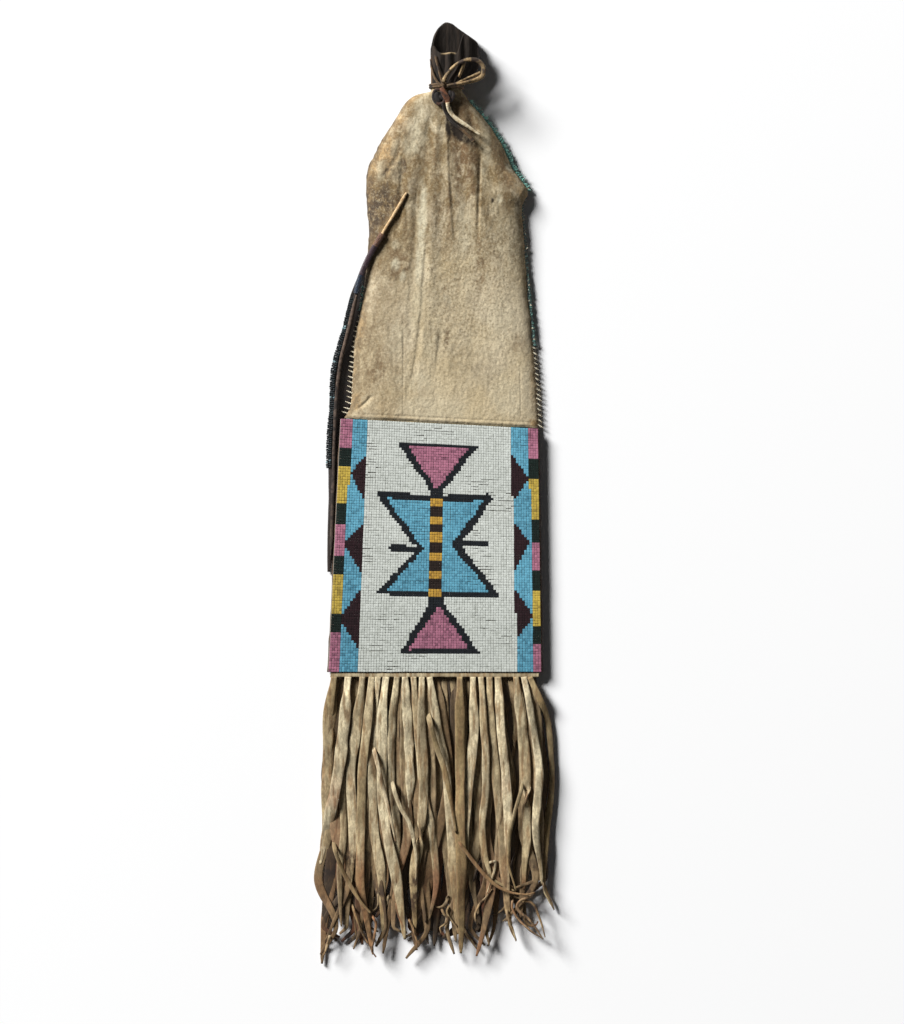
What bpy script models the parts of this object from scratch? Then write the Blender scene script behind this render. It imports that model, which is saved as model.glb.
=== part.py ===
"""A beaded hide pipe bag with a long fringe, tied shut and lying on its back.

Metres. X runs across the bag, Y from the fringe to the gathered mouth, Z up from the floor.
The beadwork is drawn on a chart: columns count from the panel's centre line, and rows from
its lower edge. The chart is then laid on the panel, which narrows and leans towards its top.
"""
import math

import bmesh
import bpy
import numpy as np
from mathutils import Matrix, Vector

GAP = 0.0003                  # air between pieces that touch

# Beadwork panel
BEAD_WIDTH = 0.00213          # one column, at the lower edge
BEAD_ROW = 0.00207            # one row, along the centre line
BEAD_DEPTH = 0.0021           # height of a bead over the hide
BEAD_GROOVE = 0.0006          # how deep the line between two columns is
COLUMNS = 80
ROWS = 96
PANEL_NARROWING = 0.0125      # how much less wide the panel is at its top
PANEL_LEAN = 0.0035           # how far the top's centre lies to the right
PANEL_TOP_DROP = 0.008        # how much lower the top's right corner is than its left one
PANEL_THICKNESS = 0.0045      # both hides of the bag, pressed flat
PANEL_MARGIN = 0.5            # bare hide outside the beads, in columns
PANEL_ROUND = 0.0012

# Upper hide, from the hem over the beads to the tie
HIDE_LENGTH = 0.2690
HEM_HEIGHT = 0.0074           # thickness at the hem
BODY_HEIGHT = 0.0105          # thickness half way up
SHOULDER_HEIGHT = 0.0165      # thickness where the folds gather
SEAM_HEIGHT = 0.0024          # height of the side seams over the floor
NECK_LEFT = -0.0032
NECK_RIGHT = 0.0216
NECK_DEPTH = 0.0160
NECK_HEIGHT = 0.0112          # middle of the neck over the floor
FRONT_POINTS = 35
BACK_POINTS = 9
HIDE_RINGS = 21

# Side seams of the upper hide: share of its length, left and right x
HIDE_OUTLINE = (
    (0.000, -0.0728, 0.0832),
    (0.030, -0.0690, 0.0828),
    (0.065, -0.0668, 0.0823),
    (0.130, -0.0661, 0.0813),
    (0.190, -0.0652, 0.0799),
    (0.250, -0.0637, 0.0783),
    (0.330, -0.0592, 0.0760),
    (0.370, -0.0574, 0.0748),
    (0.465, -0.0545, 0.0728),
    (0.560, -0.0530, 0.0712),
    (0.645, -0.0546, 0.0695),
    (0.690, -0.0554, 0.0742),
    (0.735, -0.0548, 0.0670),
    (0.760, -0.0535, 0.0630),
    (0.805, -0.0478, 0.0585),
    (0.865, -0.0390, 0.0500),
    (0.915, -0.0300, 0.0400),
    (0.955, -0.0228, 0.0296),
    (0.975, -0.0150, 0.0240),
    (0.986, NECK_LEFT, NECK_RIGHT),
    (1.000, NECK_LEFT, NECK_RIGHT),
)

# Folds that run down from the neck: x at the neck and at the foot, share of the length at
# the foot, height (a valley is negative) and half width at the foot
FOLDS = (
    (-0.0020, -0.0360, 0.45, 0.0022, 0.0090),
    (-0.0010, -0.0230, 0.50, -0.0026, 0.0050),
    (0.0030, -0.0110, 0.26, 0.0034, 0.0065),
    (0.0085, 0.0090, 0.40, -0.0034, 0.0045),
    (0.0120, 0.0165, 0.34, 0.0030, 0.0065),
    (0.0165, 0.0345, 0.30, -0.0036, 0.0050),
    (0.0190, 0.0470, 0.42, 0.0024, 0.0080),
    (0.0205, 0.0610, 0.60, -0.0018, 0.0050),
)

# Gathered mouth above the tie
MOUTH_FRONT = 0.0270          # height of the front lip over the tie
MOUTH_LEFT = -0.0036
MOUTH_RIGHT = 0.0350
MOUTH_DEPTH = 0.0205
MOUTH_WALL = 0.0018
MOUTH_FLOOR = 0.28            # where the hollow ends, as a share of the lip's height
MOUTH_PLEATS = 5
PLEAT_DEPTH = 0.0014
MOUTH_FRONT_POINTS = 27
MOUTH_BACK_POINTS = 13
BACK_LIP = (
    (-1.00, 0.0300), (-0.86, 0.0414), (-0.65, 0.0478), (-0.36, 0.0513), (-0.11, 0.0502),
    (0.06, 0.0478), (0.43, 0.0430), (0.80, 0.0380), (0.95, 0.0350), (1.00, 0.0245),
)

# Edge beading along the side seams
SEAM_BEAD = 0.0009            # radius of a strand of beads
SEAM_STITCH = 0.0025          # how far the slanting stitches stand out
STITCH_PITCH = 0.0048
LEFT_BEADS = (0.007, 0.107, 0.070)         # lowest and highest y over the hem, end of the stitches
RIGHT_LOWER_BEADS = (0.004, 0.123, 0.062)
RIGHT_UPPER_BEADS = (HIDE_LENGTH - 0.078, HIDE_LENGTH - 0.007, HIDE_LENGTH - 0.078)

# Tie round the neck
THONG_WIDTH = 0.0022          # half the width of both turns
THONG_THICKNESS = 0.0022
KNOT_SIZE = (0.0086, 0.0084, 0.0044)
BOW_RADIUS = 0.0013
LONG_TAIL_RADIUS = 0.0014
SHORT_TAIL_RADIUS = 0.0012
TAIL_LIFT = 0.0025            # how far the tails stand off the hide beside the knot

# Places of the knot, bow and tails: x, then y over the tie
KNOT = (0.0082, -0.00727)
BOW = (
    (0.0064, 0.00223, 0.0233), (0.0084, 0.00623, 0.0237), (0.0112, 0.01063, 0.0240),
    (0.0156, 0.01503, 0.0241), (0.0208, 0.01823, 0.0240), (0.0260, 0.02003, 0.0238),
    (0.0312, 0.02013, 0.0234), (0.0360, 0.01783, 0.0229), (0.0388, 0.01343, 0.0225),
    (0.0384, 0.00863, 0.0225), (0.0348, 0.00503, 0.0228), (0.0288, 0.00283, 0.0232),
    (0.0216, 0.00123, 0.0234), (0.0144, 0.00003, 0.0234), (0.0096, -0.00097, 0.0233),
)
LONG_TAIL = (
    (0.0101, -0.01397), (0.0106, -0.01697), (0.0118, -0.02037), (0.0142, -0.02387), (0.0176, -0.02707),
    (0.0224, -0.03027), (0.0272, -0.03347), (0.0316, -0.03647), (0.0360, -0.03937),
)
SHORT_TAIL = (
    (0.0061, -0.01377), (0.0067, -0.01697), (0.0082, -0.02097), (0.0107, -0.02527), (0.0142, -0.02947),
    (0.0184, -0.03317), (0.0228, -0.03647), (0.0272, -0.04037), (0.0312, -0.04497),
)

# Pendant: route of the thong's middle, and its width
PENDANT = (
    (-0.0226, 0.3830, 0.0028), (-0.0256, 0.3779, 0.0028), (-0.0288, 0.3723, 0.0028),
    (-0.0322, 0.3667, 0.0026), (-0.0355, 0.3611, 0.0024), (-0.0387, 0.3562, 0.0024),
    (-0.0426, 0.3492, 0.0026), (-0.0466, 0.3426, 0.0028), (-0.0506, 0.3360, 0.0028),
    (-0.0544, 0.3286, 0.0028), (-0.0571, 0.3224, 0.0028), (-0.0594, 0.3163, 0.0028),
    (-0.0613, 0.3104, 0.0028), (-0.0626, 0.3048, 0.0030), (-0.0638, 0.2984, 0.0036),
    (-0.0661, 0.2880, 0.0046), (-0.0688, 0.2752, 0.0052), (-0.0722, 0.2640, 0.0052),
    (-0.0747, 0.2560, 0.0052), (-0.0770, 0.2472, 0.0052), (-0.0785, 0.2392, 0.0052),
    (-0.0792, 0.2304, 0.0052), (-0.0792, 0.2192, 0.0052), (-0.0798, 0.2080, 0.0052),
    (-0.0808, 0.1968, 0.0052), (-0.0817, 0.1856, 0.0052), (-0.0822, 0.1640, 0.0050),
    (-0.0830, 0.1376, 0.0048), (-0.0840, 0.1136, 0.0044), (-0.0846, 0.0928, 0.0036),
    (-0.0850, 0.0800, 0.0026),
)
PENDANT_THICKNESS = 0.0024
DRAPE_REACH = 0.009           # how far ahead of an edge a thong lifts off
WRAP_RADIUS = 0.0026          # beads wound round the thong
WRAP_RUN = (6, 13)            # the route points that they run between
WRAP_RINGS = 11
EDGING_RADIUS = 0.0015        # beads sewn along the strap's outer edge
EDGING_RUN = (14, 26)

# Fringe: two layers, each cut from one strip of hide
BAND_DEPTH = 0.0052
FRINGE_THICKNESS = 0.0012
ROOT_WIDTH = 0.0040
LAYER_STEP = 0.0018           # height between strips that lie on each other
BACK_BAND_HEIGHT = 0.0012
FRONT_BAND_HEIGHT = 0.0036
LOWEST_STRIP = 0.0010
BAND_ENDS = (-0.0836, 0.0834)   # x of both ends of the bands
STRIP_UNIT = 0.001            # the unit of the two tables below
STATION_STEP = 0.040          # depth between two x values of a strip
STRIP_PIECES = 9
STRIP_SETTLE = 0.020          # depth in which a strip comes down on its layer

# Each strip: width, depth of its tip, then its x in millimetres at the root, every
# 40 mm below it and at the tip. A later strip lies on the earlier ones that it crosses.
BACK_STRIPS = (
    (7.2, 230, (-75.2, -79.2, -83.2, -83.2, -83.2, -89.2, -90.6)),
    (4.4, 189, (-68.8, -72.0, -77.6, -80.8, -69.6, -49.6)),
    (5.2, 211, (-63.2, -65.6, -72.0, -71.2, -68.8, -82.8, -88.0)),
    (4.0, 210, (-55.2, -61.6, -63.2, -68.0, -68.0, -64.0, -63.2)),
    (4.4, 218, (-44.8, -48.8, -52.0, -52.8, -54.4, -59.2, -65.6)),
    (5.2, 157, (-27.2, -28.0, -26.4, -21.6, -20.0)),
    (5.2, 214, (-35.2, -35.2, -32.8, -18.4, -12.8, -7.6, -5.6)),
    (5.0, 182, (-13.6, -8.8, -7.2, -5.6, -4.0, -2.4)),
    (5.2, 182, (14.0, 14.4, 14.4, 12.8, 14.0, 15.2)),
    (7.0, 183, (0.8, 6.8, 11.2, 4.0, -7.2, -11.6)),
    (4.4, 218, (7.2, 8.8, 8.8, 7.2, 10.8, 22.4, 33.6)),
    (4.4, 152, (33.6, 34.4, 35.2, 39.2, 34.4)),
    (6.0, 171, (25.6, 24.0, 28.0, 32.4, 36.8, 40.8)),
    (5.2, 216, (55.2, 55.6, 56.0, 53.6, 50.4, 47.2, 42.4)),
    (5.0, 154, (46.4, 49.6, 50.4, 49.6, 44.0)),
    (4.0, 72, (60.4, 64.4, 60.8)),
    (4.8, 165, (65.6, 66.8, 68.4, 61.2, 64.0, 64.8)),
    (4.0, 210, (71.2, 72.0, 74.4, 77.6, 69.6, 73.6, 86.8)),
)
FRONT_STRIPS = (
    (7.2, 147, (-80.8, -85.6, -86.4, -87.2, -92.0)),
    (8.0, 150, (-69.6, -72.8, -77.6, -86.4, -91.2)),
    (7.2, 169, (-58.1, -62.4, -67.6, -65.2, -67.2, -68.0)),
    (6.4, 222, (-50.6, -54.4, -58.4, -59.6, -60.3, -53.6, -49.6)),
    (7.2, 206, (-45.6, -49.6, -50.0, -48.8, -42.4, -41.2, -40.8)),
    (6.0, 160, (-30.4, -35.2, -35.6, -30.8, -29.6)),
    (7.6, 210, (-39.2, -42.4, -42.4, -39.2, -30.8, -25.6, -24.0)),
    (7.2, 107, (-24.0, -21.6, -20.0, -20.4)),
    (5.6, 155, (-17.2, -14.0, -10.8, -3.2, -0.8)),
    (7.0, 202, (-10.4, -10.8, -8.8, -10.8, -17.2, -16.0)),
    (6.0, 206, (-4.4, 2.8, 9.6, 12.4, 14.8, 18.0, 18.4)),
    (6.8, 178, (30.4, 31.2, 27.6, 24.4, 21.6, 23.0)),
    (7.6, 221, (19.8, 20.5, 20.0, 20.0, 20.8, 20.8, 20.6)),
    (6.4, 211, (43.6, 44.8, 48.8, 52.8, 56.0, 60.8, 64.8)),
    (5.0, 172, (36.8, 39.2, 40.8, 37.6, 44.8, 64.8)),
    (6.8, 155, (50.4, 52.4, 56.8, 58.4, 58.4)),
    (7.0, 170, (64.8, 69.2, 72.8, 73.6, 71.2, 71.0)),
    (5.6, 166, (71.2, 78.4, 83.6, 80.4, 84.8, 85.3)),
    (4.4, 187, (76.0, 90.8, 94.0, 89.6, 86.8, 95.2)),
)

# The chart: rows where the outer bars and the centre stripe change colour, and the motif
BAR_COLUMN = 36.5             # inner edge of the bars
GROUND_COLUMN = 30            # edge of the white ground
LEFT_BARS = (96, 85, 78, 64, 56, 44, 37, 22, 15, 0)
RIGHT_BARS = (96, 84, 76, 60, 51, 40, 32, 18, 11, 0)
LEFT_DIAMONDS = ((83, 75.5, 64.5), (57, 48.5, 38), (31.5, 20.5, 9))
RIGHT_DIAMONDS = ((85.5, 76, 66.5), (59, 51, 39.5), (32.5, 22, 13))
DIAMOND_COLUMN = 35.2         # how far out a half diamond's point reaches
STRIPE = (-3, 2)
STRIPE_ROWS = (67, 64, 60, 57, 54, 50, 46, 43, 39, 36, 32, 29)
UPPER_TRIANGLE = ((-12.3, 86.6), (-0.7, 70.2), (11.7, 86.6))
LOWER_TRIANGLE = ((-10.3, 8.6), (12.8, 9.3), (0.8, 25.6))
LEFT_HALF = ((-20.3, 66.7), (-19.3, 31.1), (-3, 31.2), (-3, 65.6))
RIGHT_HALF = ((2, 65.8), (2, 31.2), (20.3, 31.5), (18.2, 66.6))
LEFT_WAIST = (-5.3, 47.5)
RIGHT_WAIST = (5.7, 49.3)
MOTIF = (
    (-16.7, 88.4), (-3.3, 70.2), (-3.3, 68.2), (-23.2, 69.2), (-24.6, 68.1), (-8.7, 48.5),
    (-18.3, 48.5), (-18.3, 46.1), (-8.9, 46.1), (-23.6, 29.6), (-3.3, 29.3), (-3.3, 25.4),
    (-13.8, 6.9), (17.2, 7.2), (3.3, 26.2), (3.3, 29.3), (24.7, 29.4), (9.8, 48.8),
    (19.6, 48.8), (19.6, 50.7), (10.1, 50.7), (21.8, 67.8), (19.8, 69.6), (2.3, 68.4),
    (2.3, 70.2), (16.2, 88.1),
)

TAN = "#B09D7C"
DARK_HIDE = "#4A3B2E"
THONG = "#8C7555"
WHITE = "#CDD1CB"
BLUE = "#5AA9CC"
PINK = "#B9587F"
YELLOW = "#D4AF36"
STRIPE_YELLOW = "#D09A2B"
BLACK = "#25262A"
STRIPE_BLACK = "#2C2420"
MAROON = "#2A1A1E"
GREEN_BLACK = "#15201C"
WRAP_MAROON = "#40202A"
CREAM = "#C9BFA6"
STRAP_BROWN = "#5A4433"


def linear(hex_colour):
    """Linear RGBA of an sRGB hex colour."""
    parts = [int(hex_colour[i:i + 2], 16) / 255 for i in (1, 3, 5)]
    return [c / 12.92 if c <= 0.04045 else ((c + 0.055) / 1.055) ** 2.4 for c in parts] + [1.0]


def material(name, colour, roughness):
    made = bpy.data.materials.new(name)
    made.use_nodes = True
    shader = made.node_tree.nodes["Principled BSDF"]
    shader.inputs["Base Color"].default_value = linear(colour)
    shader.inputs["Roughness"].default_value = roughness
    return made


def add_piece(name, mesh, colour, roughness=0.8):
    """A named object with its own material, in the bag's collection and under its empty."""
    piece = bpy.data.objects.new(name, mesh)
    piece.data.materials.clear()
    piece.data.materials.append(material(name, colour, roughness))
    bag.objects.link(piece)
    piece.parent = bag_origin
    return piece


def mesh_from(bm, name):
    """The bmesh as a mesh whose faces point out."""
    bmesh.ops.recalc_face_normals(bm, faces=bm.faces)
    mesh = bpy.data.meshes.new(name)
    bm.to_mesh(mesh)
    bm.free()
    return mesh


def smooth(knots, values, at):
    """A smooth line through the values that never swings past them."""
    knots, values = np.asarray(knots, float), np.asarray(values, float)
    steps = np.diff(values) / np.diff(knots)
    before, after = steps[:-1], steps[1:]
    total = np.where(before * after > 0, before + after, 1.0)
    inner = np.where(before * after > 0, 2 * before * after / total, 0.0)
    slopes = np.concatenate([steps[:1], inner, steps[-1:]])
    i = np.clip(np.searchsorted(knots, at) - 1, 0, len(knots) - 2)
    run = knots[i + 1] - knots[i]
    u = np.clip((at - knots[i]) / run, 0, 1)
    return ((1 + 2 * u) * (1 - u) ** 2 * values[i] + u * (1 - u) ** 2 * run * slopes[i]
            + u * u * (3 - 2 * u) * values[i + 1] + u * u * (u - 1) * run * slopes[i + 1])


def ease(u):
    """0 below 0, 1 above 1, and a smooth step between."""
    u = np.clip(u, 0, 1)
    return u * u * (3 - 2 * u)


def loft(name, rings, loop=False):
    """A closed skin over rings of equal point counts, capped unless the rings make a loop."""
    bm = bmesh.new()
    rows = [[bm.verts.new(point) for point in ring] for ring in rings]
    count = len(rows[0])
    pairs = list(zip(rows, rows[1:]))
    if loop:
        pairs.append((rows[-1], rows[0]))
    for one, two in pairs:
        for k in range(count):
            bm.faces.new((one[k], one[(k + 1) % count], two[(k + 1) % count], two[k]))
    if not loop:
        bm.faces.new(rows[0])
        bm.faces.new(rows[-1])
    return mesh_from(bm, name)


# Beadwork panel

def panel_point(column, row):
    """Where a point of the chart lies on the panel."""
    up = row / ROWS
    width = COLUMNS * BEAD_WIDTH - PANEL_NARROWING * up
    across = column / COLUMNS
    return PANEL_LEAN * up + across * width, row * BEAD_ROW - PANEL_TOP_DROP * up * across


def lay_on_panel(mesh):
    """Move a mesh that is drawn on the flat chart to its place on the panel."""
    bm = bmesh.new()
    bm.from_mesh(mesh)
    bmesh.ops.triangulate(bm, faces=bm.faces)
    for vertex in bm.verts:
        x, y = panel_point(vertex.co.x / BEAD_WIDTH, vertex.co.y / BEAD_ROW)
        vertex.co.x, vertex.co.y = x, y
    bm.to_mesh(mesh)
    bm.free()
    return mesh


def on_chart(outline):
    return [(column * BEAD_WIDTH, row * BEAD_ROW) for column, row in outline]


def offset(outline, distance):
    """The outline moved in by a distance, or out if it is negative, with mitred corners."""
    area = sum(a[0] * b[1] - b[0] * a[1] for a, b in zip(outline, outline[1:] + outline[:1]))
    turn = math.copysign(1.0, area)
    moved = []
    for before, here, after in zip(outline[-1:] + outline[:-1], outline, outline[1:] + outline[:1]):
        one = np.subtract(here, before)
        two = np.subtract(after, here)
        normals = [turn * np.array((-d[1], d[0])) / np.hypot(*d) for d in (one, two)]
        corner = normals[0] + normals[1]
        moved.append(tuple(np.add(here, corner * distance / (1 + normals[0] @ normals[1]))))
    return moved


def upright(name, outline, low, high):
    """An upright prism on an outline."""
    bm = bmesh.new()
    face = bm.faces.new([bm.verts.new((x, y, low)) for x, y in outline])
    walls = bmesh.ops.extrude_face_region(bm, geom=[face])
    top = [v for v in walls["geom"] if isinstance(v, bmesh.types.BMVert)]
    bmesh.ops.translate(bm, verts=top, vec=(0, 0, high - low))
    return bpy.data.objects.new(name, mesh_from(bm, name))


def ridged_slab(name, outline):
    """A slab over the outline's columns, with one ridge for each column of beads."""
    columns = [x / BEAD_WIDTH for x, _ in outline]
    rows = [y for _, y in outline]
    first, last = math.floor(min(columns)) - 1, math.ceil(max(columns)) + 1
    crest = PANEL_THICKNESS + GAP + BEAD_DEPTH
    profile = [(first, 0.0)]
    for column in range(first, last):
        profile += [(column, crest - BEAD_GROOVE), (column + 0.5, crest)]
    profile += [(last, crest - BEAD_GROOVE), (last, 0.0)]
    bm = bmesh.new()
    low, high = min(rows) - BEAD_ROW, max(rows) + BEAD_ROW
    face = bm.faces.new([bm.verts.new((c * BEAD_WIDTH, low, z)) for c, z in profile])
    side = bmesh.ops.extrude_face_region(bm, geom=[face])
    far = [v for v in side["geom"] if isinstance(v, bmesh.types.BMVert)]
    bmesh.ops.translate(bm, verts=far, vec=(0, high - low, 0))
    return bpy.data.objects.new(name, mesh_from(bm, name))


def bead_field(name, outline, colour, holes=(), ridged=True):
    """One colour's beads: a slab cut to its outline, half a gap short on every side."""
    base = PANEL_THICKNESS + GAP
    shape = offset(on_chart(outline), GAP / 2)
    if ridged:
        blank = ridged_slab(name, shape)
        cutters = [("INTERSECT", upright("outline", shape, base, base + 2 * BEAD_DEPTH))]
    else:
        blank = upright(name, shape, base, base + BEAD_DEPTH - BEAD_GROOVE / 2)
        cutters = []
    for hole in holes:
        grown = offset(on_chart(hole), -GAP / 2)
        cutters.append(("DIFFERENCE", upright("hole", grown, 0, base + 3 * BEAD_DEPTH)))
    bag.objects.link(blank)
    for operation, cutter in cutters:
        bag.objects.link(cutter)
        cut = blank.modifiers.new(operation, "BOOLEAN")
        cut.operation = operation
        cut.object = cutter
    bpy.context.view_layer.update()
    view = bpy.context.evaluated_depsgraph_get()
    mesh = bpy.data.meshes.new_from_object(blank.evaluated_get(view))
    for scrap in [blank] + [cutter for _, cutter in cutters]:
        bpy.data.objects.remove(scrap)
    return add_piece(name, lay_on_panel(mesh), colour, 0.35)


def bar_outline(side, top, bottom):
    outer = side * COLUMNS / 2
    return [(side * BAR_COLUMN, bottom), (outer, bottom), (outer, top), (side * BAR_COLUMN, top)]


def strip_outline(side, diamonds):
    """A blue strip, notched along the white ground by the half diamonds."""
    inner, outer = side * GROUND_COLUMN, side * BAR_COLUMN
    outline = [(inner, 0), (outer, 0), (outer, ROWS), (inner, ROWS)]
    for top, point, bottom in diamonds:
        outline += [(inner, top), (side * DIAMOND_COLUMN, point), (inner, bottom)]
    return outline


def make_panel():
    edge = COLUMNS / 2 + PANEL_MARGIN
    corners = on_chart([(-edge, 0), (edge, 0), (edge, ROWS), (-edge, ROWS)])
    slab = upright("panel_slab", corners, 0, PANEL_THICKNESS)
    piece = add_piece("panel_hide", lay_on_panel(slab.data), TAN)
    bpy.data.objects.remove(slab)
    rounding = piece.modifiers.new("rounding", "BEVEL")
    rounding.width = PANEL_ROUND
    rounding.segments = 2


def make_beadwork():
    ground = [(-GROUND_COLUMN, 0), (GROUND_COLUMN, 0), (GROUND_COLUMN, ROWS), (-GROUND_COLUMN, ROWS)]
    bead_field("white_ground", ground, WHITE, holes=[MOTIF])
    left_half = list(LEFT_HALF[:1]) + [LEFT_WAIST] + list(LEFT_HALF[1:])
    right_half = list(RIGHT_HALF[:3]) + [RIGHT_WAIST] + list(RIGHT_HALF[3:])
    stripe_box = [(STRIPE[0], STRIPE_ROWS[-1]), (STRIPE[1], STRIPE_ROWS[-1]),
                  (STRIPE[1], STRIPE_ROWS[0]), (STRIPE[0], STRIPE_ROWS[0])]
    middle = left_half[:4] + stripe_box[:2] + right_half[1:] + right_half[:1] + stripe_box[2:] + left_half[4:]
    bead_field("motif_outline", MOTIF, BLACK, holes=[UPPER_TRIANGLE, middle, LOWER_TRIANGLE], ridged=False)
    bead_field("upper_pink_triangle", UPPER_TRIANGLE, PINK)
    bead_field("lower_pink_triangle", LOWER_TRIANGLE, PINK)
    bead_field("hourglass_left", left_half, BLUE)
    bead_field("hourglass_right", right_half, BLUE)
    for k, (top, bottom) in enumerate(zip(STRIPE_ROWS, STRIPE_ROWS[1:])):
        block = [(STRIPE[0], bottom), (STRIPE[1], bottom), (STRIPE[1], top), (STRIPE[0], top)]
        name, colour = ("dark", STRIPE_BLACK) if k % 2 else ("yellow", STRIPE_YELLOW)
        bead_field(f"stripe_{name}_{k // 2 + 1}", block, colour)
    bar_colours = (("pink", PINK), ("dark", GREEN_BLACK), ("yellow", YELLOW), ("dark", GREEN_BLACK))
    for word, side, bars, diamonds in (("left", -1, LEFT_BARS, LEFT_DIAMONDS),
                                       ("right", 1, RIGHT_BARS, RIGHT_DIAMONDS)):
        bead_field(f"{word}_blue_strip", strip_outline(side, diamonds), BLUE)
        for k, (top, point, bottom) in enumerate(diamonds):
            half = [(side * GROUND_COLUMN, bottom), (side * DIAMOND_COLUMN, point), (side * GROUND_COLUMN, top)]
            bead_field(f"{word}_half_diamond_{k + 1}", half, MAROON)
        for k, (top, bottom) in enumerate(zip(bars, bars[1:])):
            name, colour = bar_colours[k % 4]
            bead_field(f"{word}_bar_{k + 1}_{name}", bar_outline(side, top, bottom), colour)


# Upper hide and mouth

def panel_top(x):
    """The height of the panel's upper edge at x."""
    width = COLUMNS * BEAD_WIDTH - PANEL_NARROWING
    return ROWS * BEAD_ROW - PANEL_TOP_DROP * (x - PANEL_LEAN) / width


def section(counts, left, right, low, side, high, power, evenness):
    """A closed outline across the bag: its front from left to right, then its back."""
    across = np.linspace(-1, 1, counts[0])
    bunched = -np.cos(np.linspace(0, math.pi, counts[0]))
    front = evenness * across + (1 - evenness) * bunched
    back = np.cos(np.linspace(0, math.pi, counts[1] + 2))[1:-1]
    over = side + (high - side) * np.sqrt(1 - np.abs(front) ** power)
    under = side - (side - low) * np.sqrt(1 - np.abs(back) ** power)
    share = np.concatenate([front, back])
    is_front = np.arange(len(share)) < counts[0]
    x = (left + right) / 2 + share * (right - left) / 2
    return share, is_front, x, np.concatenate([over, under])


def fold_height(x, t):
    """Sum of the ridges and valleys at x, a share t of the way from the hem to the tie."""
    total = np.zeros_like(x)
    for neck_x, foot_x, foot, height, width in FOLDS:
        along = (t - foot) / (1 - foot)
        line = foot_x + (neck_x - foot_x) * max(along, 0) ** 0.8
        narrow = width * (1 - 0.6 * ease(along))
        total += height * ease((t - foot) / 0.25) * np.exp(-((x - line) / narrow) ** 2)
    return total


def hide_ring(t):
    """The upper hide's outline a share t of the way from the hem to the tie."""
    stations = np.array(HIDE_OUTLINE)
    left = float(smooth(stations[:, 0], stations[:, 1], t))
    right = float(smooth(stations[:, 0], stations[:, 2], t))
    neck = float(ease((t - 0.87) / 0.11))
    lift = float(ease((t - 0.955) / 0.03))
    flat_high = float(smooth((0, 0.05, 0.5, 0.9, 1), (HEM_HEIGHT, HEM_HEIGHT * 1.02, BODY_HEIGHT,
                                                     SHOULDER_HEIGHT, NECK_HEIGHT + NECK_DEPTH / 2), t))
    low = lift * (NECK_HEIGHT - NECK_DEPTH / 2)
    side = SEAM_HEIGHT + neck * (NECK_HEIGHT - SEAM_HEIGHT)
    share, is_front, x, z = section((FRONT_POINTS, BACK_POINTS), left, right, low, side, flat_high,
                                    6 - 4 * neck, 0.85 * (1 - neck))
    folds = fold_height(x, t) * (1 - np.abs(share) ** 8)
    folds = np.where(folds > 0, folds * (1 - neck), folds * (1 - 0.6 * neck))
    z = np.where(is_front, np.maximum(z + folds, side), z)
    slope = PANEL_TOP_DROP / (COLUMNS * BEAD_WIDTH - PANEL_NARROWING) * (1 - t) ** 1.5
    y = panel_top(PANEL_LEAN) + GAP + t * HIDE_LENGTH - slope * (x - PANEL_LEAN)
    return np.column_stack([x, y, z])


def hide_rings():
    shares = np.concatenate([np.linspace(0, 0.94, HIDE_RINGS - 5), (0.958, 0.972, 0.986, 0.993, 1.0)])
    return [hide_ring(t) for t in shares]


def mouth_ring(v, inside=False):
    """The mouth's outline a share v of the way from the tie to its lip."""
    flare = float(ease((v - 0.11) / 0.8))
    left = NECK_LEFT + flare * (MOUTH_LEFT - NECK_LEFT)
    right = NECK_RIGHT + flare * (MOUTH_RIGHT - NECK_RIGHT)
    low = (NECK_HEIGHT - NECK_DEPTH / 2) * (1 - float(ease((v - 0.12) / 0.3)))
    high = NECK_HEIGHT + NECK_DEPTH / 2 + flare * (MOUTH_DEPTH - NECK_HEIGHT - NECK_DEPTH / 2)
    side = NECK_HEIGHT + flare * (MOUTH_DEPTH / 2 - NECK_HEIGHT)
    share, is_front, x, z = section((MOUTH_FRONT_POINTS, MOUTH_BACK_POINTS), left, right, low, side,
                                    high, 2 + flare, 0.0)
    pleat = (1 - np.cos(2 * math.pi * MOUTH_PLEATS * (share + 1) / 2)) / 2
    depth = PLEAT_DEPTH * (0.4 + 0.6 * flare) * pleat * (1 - share ** 4)
    z = z - np.where(is_front, depth, 0)
    lip = smooth(*np.array(BACK_LIP).T, share)
    front = MOUTH_FRONT + (lip - MOUTH_FRONT) * np.abs(share) ** 6
    reach = np.where(is_front, front, lip)
    if inside:
        middle_x, middle_z = (left + right) / 2, (low + high) / 2
        x = middle_x + (x - middle_x) * (1 - 2 * MOUTH_WALL / (right - left))
        z = middle_z + (z - middle_z) * (1 - 2 * MOUTH_WALL / (high - low))
    y = tie_y() + GAP / 2 + v * reach
    return np.column_stack([x, y, z])


def tie_y():
    """Where the tie goes round the neck, between the upper hide and its mouth."""
    return panel_top(PANEL_LEAN) + GAP + HIDE_LENGTH + GAP / 2


def make_hides():
    add_piece("hide_body", loft("hide_body", hide_rings()), TAN)
    outside = [mouth_ring(v) for v in (0, 0.11, 0.25, 0.45, 0.7, 1.0)]
    inside = [mouth_ring(v, inside=True) for v in (1.0, 0.7, 0.45, MOUTH_FLOOR)]
    add_piece("gathered_mouth", loft("gathered_mouth", outside + inside), DARK_HIDE)


# Edge beading

def tube(name, points, radius, colour, radii=None, resolution=2):
    """A round strand through the points, closed at both ends."""
    line = bpy.data.curves.new(name, "CURVE")
    line.dimensions = "3D"
    line.bevel_depth = radius
    line.bevel_resolution = resolution
    line.use_fill_caps = True
    spline = line.splines.new("POLY")
    spline.points.add(len(points) - 1)
    for point, place in zip(spline.points, points):
        point.co = (*place, 1)
    if radii is not None:
        for point, share in zip(spline.points, radii):
            point.radius = share
    return add_piece(name, line, colour)


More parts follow.
